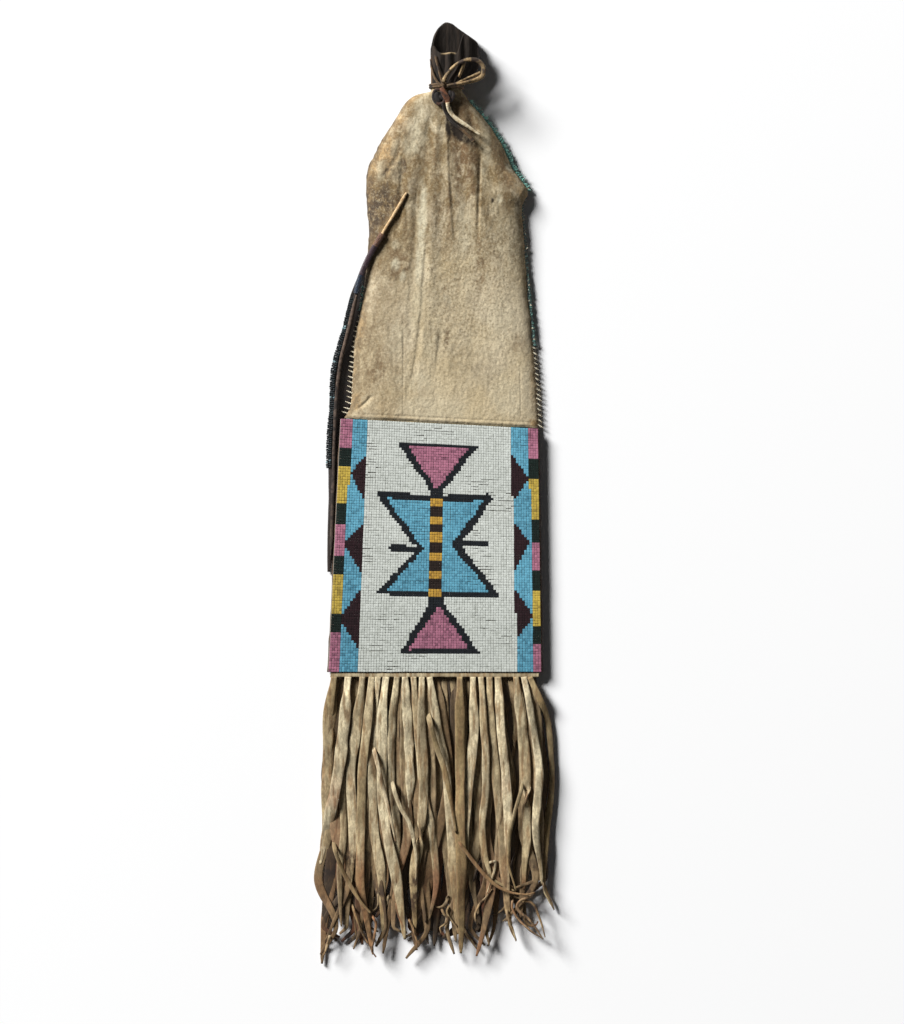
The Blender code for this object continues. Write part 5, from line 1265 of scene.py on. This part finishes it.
def makeSeamBeads():
    rng = np.random.default_rng(120)
    cream = glassFinish("creamSeamBeads", "#E2DAC2", "#A89A7C", 0.4)
    teal = glassFinish("tealSeamBeads", "#7DBBAB", "#17302D", 0.35)
    for name, side, low, high, teethEnd, lengths, slope, node in seams["runs"]:
        bristling = teethEnd == low
        if not bristling:
            teeth, tone = seamTeeth(rng, side, low, teethEnd, seams["toothPitch"], lengths, slope, 0.12,
                                    seams["toothThickness"])
            closedSkins(name + "Teeth", [teeth], cream, (), {"tone": [tone]})
        shapes, tone = seamRow(rng, side, teethEnd, high, 0.55 if bristling else 0.25)
        tone = tone * (0.45 if name == "rightLowerSeam" else 1.0)  # that seam is shaded and grimy
        pale = rng.uniform(0, 1, len(tone)) > (0.96 if bristling else 0.84)
        dark, shade = ([shapes[~pale]], [tone[~pale]]) if node else ([], [])
        if bristling:
            for pitch, reach, thick in seams["thickBristle" if node else "thinBristle"]:
                ends = (reach, reach * 0.8)
                bristle, tone = seamTeeth(rng, side, low, high, pitch, ends, slope, 0.75, thick)
                dark.append(bristle)
                shade.append(np.clip(0.35 + 0.65 * tone, 0, 1) * (1.0 if node else 0.5))
        closedSkins(name + "Beads", dark, teal, [node] if node else (), {"tone": shade})
        closedSkins(name + "PaleBeads", [shapes[pale]], cream, (), {"tone": [0.6]})


makeSeamBeads()
print("seams are beaded")


# Fringe: two layers of hide strips

fringe = dict(
    bandDepth=0.0052, bandEnds=(-0.0836, 0.0834), bandThickness=0.0013, tuck=0.0012,
    rootWidth=0.005, layerStep=0.0018, settle=0.02, station=40, rings=120, around=12,
    floorAt=0.0018,                    # how high a strip lies past the edges of the fringe, at most
    # a strip: width, length to its tip and level; then x at the root, at every station and at the tip (mm)
    layers=(
        dict(name="backFringe", node="fringe_back", band=0.0012, lowest=0.0014, seed=200, droop=0.0,
             strips=(
                 (7.2, 230, 0, (-75.2, -79.2, -83.2, -83.2, -83.2, -89.2, -90.6)),
                 (4.4, 189, 1, (-68.8, -72, -77.6, -80.8, -69.6, -49.6)),
                 (5.2, 211, 2, (-63.2, -65.6, -72, -71.2, -68.8, -82.8, -88)),
                 (4, 210, 0, (-55.2, -61.6, -63.2, -68, -68, -64, -63.2)),
                 (4.4, 218, 2, (-44.8, -48.8, -52, -52.8, -54.4, -59.2, -65.6)),
                 (5.2, 157, 0, (-27.2, -28, -26.4, -21.6, -20)),
                 (5.2, 214, 1, (-35.2, -35.2, -32.8, -18.4, -12.8, -7.6, -5.6)),
                 (5, 182, 0, (-13.6, -8.8, -7.2, -5.6, -4, -2.4)),
                 (5.2, 182, 0, (14, 14.4, 14.4, 12.8, 14, 15.2)),
                 (7, 183, 2, (0.8, 6.8, 11.2, 4, -7.2, -11.6)),
                 (4.4, 218, 1, (7.2, 8.8, 8.8, 7.2, 10.8, 22.4, 33.6)),
                 (4.4, 152, 0, (33.6, 34.4, 35.2, 39.2, 34.4)),
                 (6, 171, 1, (25.6, 24, 28, 32.4, 36.8, 40.8)),
                 (5.2, 216, 0, (55.2, 55.6, 56, 53.6, 50.4, 47.2, 42.4)),
                 (5, 154, 1, (46.4, 49.6, 50.4, 49.6, 44)),
                 (4, 72, 1, (60.4, 64.4, 60.8)),
                 (4.8, 165, 0, (65.6, 66.8, 68.4, 61.2, 64, 64.8)),
                 (4, 210, 1, (71.2, 72, 74.4, 77.6, 69.6, 73.6, 86.8)))),
        dict(name="frontFringe", node="fringe_front", band=0.0053, lowest=0.0068, seed=300, droop=0.25,
             strips=(
                 (7.2, 147, 0, (-80.8, -85.6, -86.4, -87.2, -92)),
                 (8, 150, 1, (-69.6, -72.8, -77.6, -86.4, -91.2)),
                 (7.2, 169, 0, (-58.1, -62.4, -67.6, -65.2, -67.2, -68)),
                 (6.4, 222, 1, (-50.6, -54.4, -58.4, -59.6, -60.3, -53.6, -49.6)),
                 (7.2, 206, 0, (-45.6, -49.6, -50, -48.8, -42.4, -41.2, -40.8)),
                 (6, 160, 0, (-30.4, -35.2, -35.6, -30.8, -29.6)),
                 (7.6, 210, 1, (-39.2, -42.4, -42.4, -39.2, -30.8, -25.6, -24)),
                 (7.2, 107, 0, (-24, -21.6, -20, -20.4)),
                 (5.6, 155, 0, (-17.2, -14, -10.8, -3.2, -0.8)),
                 (7, 202, 1, (-10.4, -10.8, -8.8, -10.8, -17.2, -16)),
                 (6, 206, 0, (-4.4, 2.8, 9.6, 12.4, 14.8, 18, 18.4)),
                 (6.8, 178, 1, (30.4, 31.2, 27.6, 24.4, 21.6, 23)),
                 (7.6, 221, 2, (19.8, 20.5, 20, 20, 20.8, 20.8, 20.6)),
                 (6.4, 211, 0, (43.6, 44.8, 48.8, 52.8, 56, 60.8, 64.8)),
                 (5, 172, 1, (36.8, 39.2, 40.8, 37.6, 44.8, 64.8)),
                 (6.8, 155, 1, (50.4, 52.4, 56.8, 58.4, 58.4)),
                 (7, 170, 0, (64.8, 69.2, 72.8, 73.6, 71.2, 71)),
                 (5.6, 166, 1, (71.2, 78.4, 83.6, 80.4, 84.8, 85.3)),
                 (4.4, 187, 0, (76, 90.8, 94, 89.6, 86.8, 95.2)))),
    ),
    # the size of the hide that each layer was cut from
    flat=(0.167, 0.236),
    # seeded strips between the two layers, and dark ones behind: painted shade that the gaps open on
    middle=dict(count=33, seed=420, low=0.0042, band=0.003, widths=(5.0, 7.6), tips=(165, 226), leaning=1.0),
    inner=dict(count=38, seed=460, low=0.0011, band=0.0012, widths=(7.2, 8.6), tips=(192, 216), leaning=0.9),
    loose=dict(count=9, seed=520, points=40, across=(-0.084, 0.086), down=(0.165, 0.198),
               levels=(0.003, 0.0085), reaches=(0.014, 0.03), widths=(0.0018, 0.0034), thickness=0.0011),
    # how the hanging mass leans at each station: millimetres at the left end and at the right end
    flow=((0, 0), (-3, 5), (-5, 10), (-6, 10), (-6, 5), (-7, -1), (-8, -4)),
    # loose curled ends in pixels: route, width and level in millimetres, how rusty they are
    curls=(
        (((452, 832), (463, 847), (475, 863), (488, 878), (501, 888), (515, 893), (526, 894), (535, 892)),
         3, 12.2, 0.5),
        (((535, 893), (529, 897), (521, 900), (517, 906), (520, 912), (528, 918), (536, 928), (543, 939)),
         2.4, 11, 0.6),
        (((519, 903), (527, 901), (534, 905), (538, 914), (542, 925), (545, 937)), 2, 9.6, 0.3),
        (((513, 896), (512, 906), (516, 916), (524, 925), (530, 930), (538, 936)), 2, 8.4, 0.7),
        (((441, 908), (444, 914), (448, 918), (445, 924), (440, 928), (441, 933)), 2, 9, 0.1),
        (((450, 904), (447, 912), (451, 920), (456, 926), (461, 933)), 1.8, 8.4, 0.2),
        (((543, 880), (544, 890), (548, 899), (553, 908)), 1.5, 8, 0),
        (((478, 926), (475, 916), (479, 905), (487, 896), (492, 889)), 2, 8.6, 0.3),
        (((486, 866), (491, 862), (496, 861), (495, 868), (490, 884), (487, 893)), 2.2, 9.2, 0.1),
        (((408, 918), (413, 928), (416, 938), (419, 944)), 2, 8, 0.5),
        (((352, 905), (358, 922), (364, 936), (371, 948)), 2.2, 8.2, 0.3),
        (((371, 914), (376, 924), (374, 938), (372, 950), (376, 957)), 2.2, 9, 0.9),
        (((396, 900), (398, 912), (403, 926), (407, 934)), 2.4, 8, 0.9),
        (((330, 935), (327, 946), (324, 955)), 2.4, 7, 0.2),
        (((506, 908), (509, 920), (513, 930), (516, 941)), 2, 9.4, 0.2),
        (((333, 840), (335, 849), (341, 866), (350, 884), (360, 900), (371, 913)), 3.8, 12.4, 0.1),
        (((391, 776), (394, 789), (401, 808), (409, 822), (414, 840), (416.5, 862), (416, 880)), 3.6, 12.6,
         0),
        (((427, 708), (430, 722), (436, 745), (443, 765), (448, 785), (452, 806), (456, 832)), 4.6, 12.6, 0),
        (((524, 776), (521, 790), (514, 815), (509, 838), (508, 860), (513, 880), (516, 890)), 3.2, 12.4, 0),
        (((372, 742), (378, 765), (384, 790), (390, 815), (396, 842)), 3.6, 12.2, 0.2)),
    curlPoints=46, curlThickness=0.0013,
    # bright strip, streak, dull strip, and grime, which also paints the shade at edges and creases
    backFringeHide=("#C0AC85", "#7A6143", "#7F6748", "#3B2D20"),
    frontFringeHide=("#E4D5B0", "#8E714D", "#9E875D", "#443220"),
    # the strips behind are dark as painted shade of the fringe's depth
    shadeFringeHide=("#715C41", "#574630", "#3A2E21", "#211812"), rust="#94583A",
)


def stripLine(xs, tip, depth):
    # x of a strip's middle at a depth, from its x at the root, at every station and at the tip
    knots = [k * fringe["station"] / 1000 for k in range(len(xs) - 1)] + [tip / 1000]
    return through(knots, np.array(xs) / 1000, depth)


def hideStrip(width, tip, xs, band, level, seed, droop=0.0):
    # a strip's rings and marks: it leaves the band, settles on its level, rolls and thins to its tip
    rng = np.random.default_rng(seed)
    share = np.linspace(0, 1, fringe["rings"])
    depth = share * tip / 1000
    leaves = ease(share / 0.1)
    x = stripLine(xs, tip, depth) + 0.0007 * softNoise(share * 9, 0.5, seed) * leaves
    y = -fringe["bandDepth"] + fringe["tuck"] - depth
    grown = fringe["rootWidth"] + (width * 1.2 / 1000 - fringe["rootWidth"]) * ease(share / 0.16)
    wide = grown * (1 + 0.16 * softNoise(share * 10, 3.5, seed)) * (1 - 0.62 * ease((share - 0.72) / 0.28))
    wide = wide * (1 - 0.45 * ease((share - 0.97) / 0.03))
    thick = rng.uniform(0.0012, 0.0019) * (1 + 0.15 * softNoise(share * 13, 5.5, seed))
    thick = thick * (1 - 0.3 * ease((share - 0.7) / 0.3))
    roll = 0.34 * softNoise(share * 5, 7.5, seed) + 0.22 * softNoise(share * 12, 8.5, seed)
    if rng.uniform() < 0.12:  # the others lie flat all the way
        side = rng.choice((-1, 1))
        roll = roll + side * np.pi * ease((share - rng.uniform(0.25, 0.75)) / rng.uniform(0.11, 0.19))
    roll = roll * ease(share / 0.08)
    turned = np.abs(np.sin(roll))
    thick = thick + 0.0006 * turned
    wide = wide * (1 - 0.38 * turned)
    z = band + (level - band) * ease(depth / fringe["settle"])
    z = z - droop * ease((share - 0.7) / 0.3) * (level - 0.0016)
    z = z + 0.0006 * (1 + softNoise(share * 6, 9.5, seed)) * leaves
    z = z + 0.42 * (wide / 2) * turned ** 1.5
    # past the edges of the fringe nothing lies under a strip, so it comes down to the floor
    z = z - 0.85 * ease((np.abs(x - 0.001) - 0.083) / 0.007) * np.maximum(z - fringe["floorAt"], 0)
    z = np.maximum(z, (wide * turned + np.abs(thick * np.cos(roll))) / 2)
    rings = carried(np.column_stack([x, y, z]), wide, thick, roll, fringe["around"], 3.8)
    return rings, stripMarks(share, depth, seed, rng)


def stripMarks(share, depth, seed, rng):
    # what a strip's finish reads: its own tone, grimy stretches, rust low down, and its edges, which take
    # painted shade
    sides, _ = oval(fringe["around"])
    low = ease((depth - 0.105) / 0.095)
    grime = 0.6 * ease((clouds(share * 5, 2.5, seed + 12) - 0.1) / 0.45)
    grime = grime + 0.95 * low * rng.uniform(0.2, 1.0)
    tone = rng.uniform(0.05, 1.05) + 0.45 * clouds(share * 5, 0.5, seed + 11) - 0.62 * low
    rust = rng.uniform(0, 1) ** 2.5 * ease((clouds(share * 4, 4.5, seed + 13) + 0.15) / 0.5)
    marks = dict(tone=np.clip(tone, 0, 1), grime=np.clip(grime, 0, 1), rust=rust * ease((share - 0.35) / 0.4),
                 along=depth, strip=np.full(len(share), seed * 0.137))
    marks = {mark: np.repeat(values[:, None], len(sides), axis=1) for mark, values in marks.items()}
    marks["edge"] = np.repeat(ease((np.abs(sides) - 0.7) / 0.3)[None], len(share), axis=0)
    return marks


def makeBand(layer):
    # the uncut top of a layer: a flat oval carried from end to end, its lower edge bulging at each root
    seed = layer["seed"]
    x = np.linspace(*fringe["bandEnds"], 260)
    roots = np.array([xs[0] / 1000 for width, tip, level, xs in layer["strips"]])
    near = np.abs(x[:, None] - roots).min(axis=1)
    bulge = 0.0012 * (1 - ease(near / 0.003))
    wide = fringe["bandDepth"] - fringe["tuck"] + bulge + 0.0002 * softNoise(x * 300, 0.5, seed)
    z = layer["band"] + 0.00015 * softNoise(x * 120, 1.5, seed)
    path = np.column_stack([x, -0.0003 - wide / 2, z])
    rings = carried(path, wide, fringe["bandThickness"], 0.0, fringe["around"], 2.8)
    marks = stripMarks(0 * x, 0 * x, seed, np.random.default_rng(seed))
    marks["tone"][:] = (0.6 + 0.25 * softNoise(x * 90, 2.5, seed))[:, None]
    marks["grime"][:] = (0.1 + 0.25 * ease(softNoise(x * 200, 3.5, seed)))[:, None]
    return rings, marks


def fringeFinish(name):
    # strips cut from smoked hide: dull, streaked along their length, painted shade at their edges and
    # creases, grimy low down, and a few of them rusty
    bright, middle, shade, dirt = fringe[name]
    made, tree, shader = newFinish(name, 0.8, specular=0.28, sheen=0.08)
    along, strip = (addNode(tree, "Attribute", attribute_name=mark).outputs["Fac"]
                    for mark in ("along", "strip"))
    place = addNode(tree, "TexCoord").outputs["Object"]
    across = addNode(tree, "SeparateXYZ", {0: place}).outputs["X"]
    # the pattern follows each strip: x across it, a part of the way along it, and one slice for each strip
    parts = [addNode(tree, "Math", {0: along, 1: part}, operation="MULTIPLY") for part in (0.14, 0.5)]
    drawn, spread = (addNode(tree, "CombineXYZ", {0: across, 1: part, 2: strip}) for part in parts)
    fibre, streak, blotch, nap = (
        addNode(tree, "TexNoise", {"Vector": at, "Scale": perMm(size), "Detail": detail, "Roughness": rough})
        for at, size, detail, rough in ((spread, 1.3, 5.0, 0.65), (drawn, 2.6, 3.0, 0.5),
                                        (spread, 4.5, 5.0, 0.6), (place, 0.9, 3.0, 0.5)))
    tone, grime, rust, edge = (
        addNode(tree, "Attribute", attribute_name=mark) for mark in ("tone", "grime", "rust", "edge"))
    streakHere = addNode(tree, "MapRange", {0: streak, 1: 0.48, 2: 0.62, 3: 0.0, 4: 0.8})
    rustHere = addNode(tree, "Math", {0: rust, 1: 0.6}, operation="MULTIPLY")
    # painted shade of creases runs down a strip where the streak noise crosses its middle
    line = addNode(tree, "Math", {0: streak, 1: 0.5}, operation="SUBTRACT")
    line = addNode(tree, "Math", {0: line}, operation="ABSOLUTE")
    line = addNode(tree, "MapRange", {0: line, 1: 0.0, 2: 0.016, 3: 0.54, 4: 0.0})
    # grime takes the blotches first and a grimy stretch whole
    patch = addNode(tree, "MapRange", {0: blotch, 1: 0.58, 2: 0.42, 3: 0.1, 4: 1.0})
    grimeHere = addNode(tree, "Math", {0: grime, 1: 0.42}, operation="MAXIMUM")
    dirtAndShade = addNode(tree, "Math", {0: grimeHere, 1: patch}, operation="MULTIPLY")
    # painted shade at a strip's edges, where the strips shade each other
    edgeShade = addNode(tree, "Math", {0: edge, 1: 0.74}, operation="MULTIPLY")
    for other in (edgeShade, line):
        dirtAndShade = addNode(tree, "Math", {0: dirtAndShade, 1: other}, operation="MAXIMUM")
    colour = addNode(tree, "Mix", {0: tone, 6: shade, 7: bright}, data_type="RGBA")
    for share, over in ((streakHere, middle), (rustHere, fringe["rust"]), (dirtAndShade, dirt)):
        colour = addNode(tree, "Mix", {0: share, 6: colour, 7: over}, data_type="RGBA")
    value = addNode(tree, "MapRange", {0: fibre, 1: 0.34, 2: 0.66, 3: 0.74, 4: 1.2})
    colour = addNode(tree, "HueSaturation", {"Color": colour.outputs[2], "Value": value})
    bump = addNode(tree, "Bump", {"Height": fibre, "Strength": 0.5, "Distance": 0.0003})
    bump = addNode(tree, "Bump", {"Height": nap, "Strength": 0.25, "Distance": 0.0002, "Normal": bump})
    setInputs(tree, shader, {"Base Color": colour, "Normal": bump})
    return made


def seededStrips(plan):
    # strips spread evenly over the band, each wandering with the flow of the whole fringe
    rng = np.random.default_rng(plan["seed"])
    roots = np.array([xs[0] for width, tip, level, xs in fringe["layers"][1]["strips"]])
    left, right = fringe["bandEnds"]
    made = []
    for k in range(plan["count"]):
        share = (k + 0.5 + rng.uniform(-0.25, 0.25)) / plan["count"]
        root = (left + 0.004 + share * (right - left - 0.008)) * 1000
        tip = rng.uniform(*plan["tips"]) - 26 * ease((share - 0.75) / 0.25)
        lean = [plan["leaning"] * (low + share * (high - low)) for low, high in fringe["flow"]]
        if plan["leaning"] == 1.0:  # from a front strip's root, so the holes under the band stay open
            root = roots[np.abs(roots - root).argmin()] + rng.uniform(-0.6, 0.6)
        stations = int(np.ceil(tip / fringe["station"])) + 1
        xs = [root + lean[i] + rng.normal() * (0.3 + 1.1 * i) * plan["leaning"] for i in range(stations)]
        level = plan["low"] + 0.0009 * (k % 3)
        width = rng.uniform(*plan["widths"])
        made.append(hideStrip(width, tip, xs, plan["band"], level, plan["seed"] + 40 + k))
    return made


def looseEnds():
    # thin ends that turn this way and that below the strips: heading changes by seeded bends along each
    plan = fringe["loose"]
    rng = np.random.default_rng(plan["seed"])
    share = np.linspace(0, 1, plan["points"])
    made = []
    for k in range(plan["count"]):
        seed = plan["seed"] + k
        across = rng.uniform(*plan["across"])
        start = np.array((across, -rng.uniform(*plan["down"])))
        reach = rng.uniform(*plan["reaches"])
        heading = -np.pi / 2 + rng.uniform(-0.25, 0.25)
        heading = heading + 0.5 * softNoise(share * 3, 0.5, seed) * ease(share / 0.3)
        heading = heading + rng.choice((-1, 1)) * rng.uniform(0.4, 3.2) * share ** 2
        steps = np.column_stack([np.cos(heading), np.sin(heading)])
        line = start + np.cumsum(steps, axis=0) * (reach / plan["points"])
        z = rng.uniform(*plan["levels"]) * (1 - 0.5 * share) + 0.0006
        wide = rng.uniform(*plan["widths"]) * (1 - 0.6 * ease((share - 0.4) / 0.6))
        wide = wide * (0.5 + 0.5 * ease(share / 0.1))
        roll = 1.2 * softNoise(share * 4, 1.5, seed)
        rings = carried(np.column_stack([line, z]), wide, plan["thickness"], roll, fringe["around"], 2.4)
        made.append((rings, stripMarks(share, plan["down"][0] + share * reach, seed + 60, rng)))
    return made


def curledEnds():
    # the few curled ends and crossing strips that the photo shows apart from the rest
    share = np.linspace(0, 1, fringe["curlPoints"])
    made = []
    for k, (route, width, level, rust) in enumerate(fringe["curls"]):
        line = evenly(fromPhoto(route), len(share))
        # each comes up out of the strips round it
        z = level / 1000 * (0.38 + 0.62 * ease(share / 0.14)) + 0.001 * softNoise(share * 4, 0.5, 500 + k)
        wide = width / 1000 * (1 - 0.55 * ease((share - 0.5) / 0.5)) * (0.6 + 0.4 * ease(share / 0.1))
        roll = 0.8 * softNoise(share * 5, 1.5, 500 + k)
        path = np.column_stack([line, z])
        rings = carried(path, wide, fringe["curlThickness"], roll, fringe["around"], 2.5)
        marks = stripMarks(share, -line[:, 1], 560 + k, np.random.default_rng(560 + k))
        marks["rust"][:] = rust
        made.append((rings, marks))
    return made


def fringePiece(name, made, finish, standsFor=()):
    # strips as one piece, with every mark of each
    return closedSkins(name, [rings for rings, marks in made], finish, standsFor,
                       {mark: [marks[mark] for rings, marks in made] for mark in made[0][1]})


def makeFringe():
    names = ("backFringeHide", "frontFringeHide", "shadeFringeHide")
    backHide, frontHide, shadeHide = (fringeFinish(name) for name in names)
    # dark strips behind the rest: painted shade in the fringe's depth
    inner = fringePiece("shadeFillFringe", seededStrips(fringe["inner"]), shadeHide)
    middle = fringePiece("middleFringe", seededStrips(fringe["middle"]), backHide)
    loose = fringePiece("looseEnds", looseEnds(), backHide)
    curled = fringePiece("curledEnds", curledEnds(), frontHide)
    dressing = ((backHide, [inner, middle]), (frontHide, [loose, curled]))
    for layer, (finish, others) in zip(fringe["layers"], dressing):
        made = [makeBand(layer)]
        for k, (width, tip, place, xs) in enumerate(layer["strips"]):
            level = layer["lowest"] + place * fringe["layerStep"]
            made.append(hideStrip(width, tip, xs, layer["band"], level, layer["seed"] + k, layer["droop"]))
        piece = fringePiece(layer["name"], made, finish, [layer["node"]])


makeFringe()
print("fringe is cut")
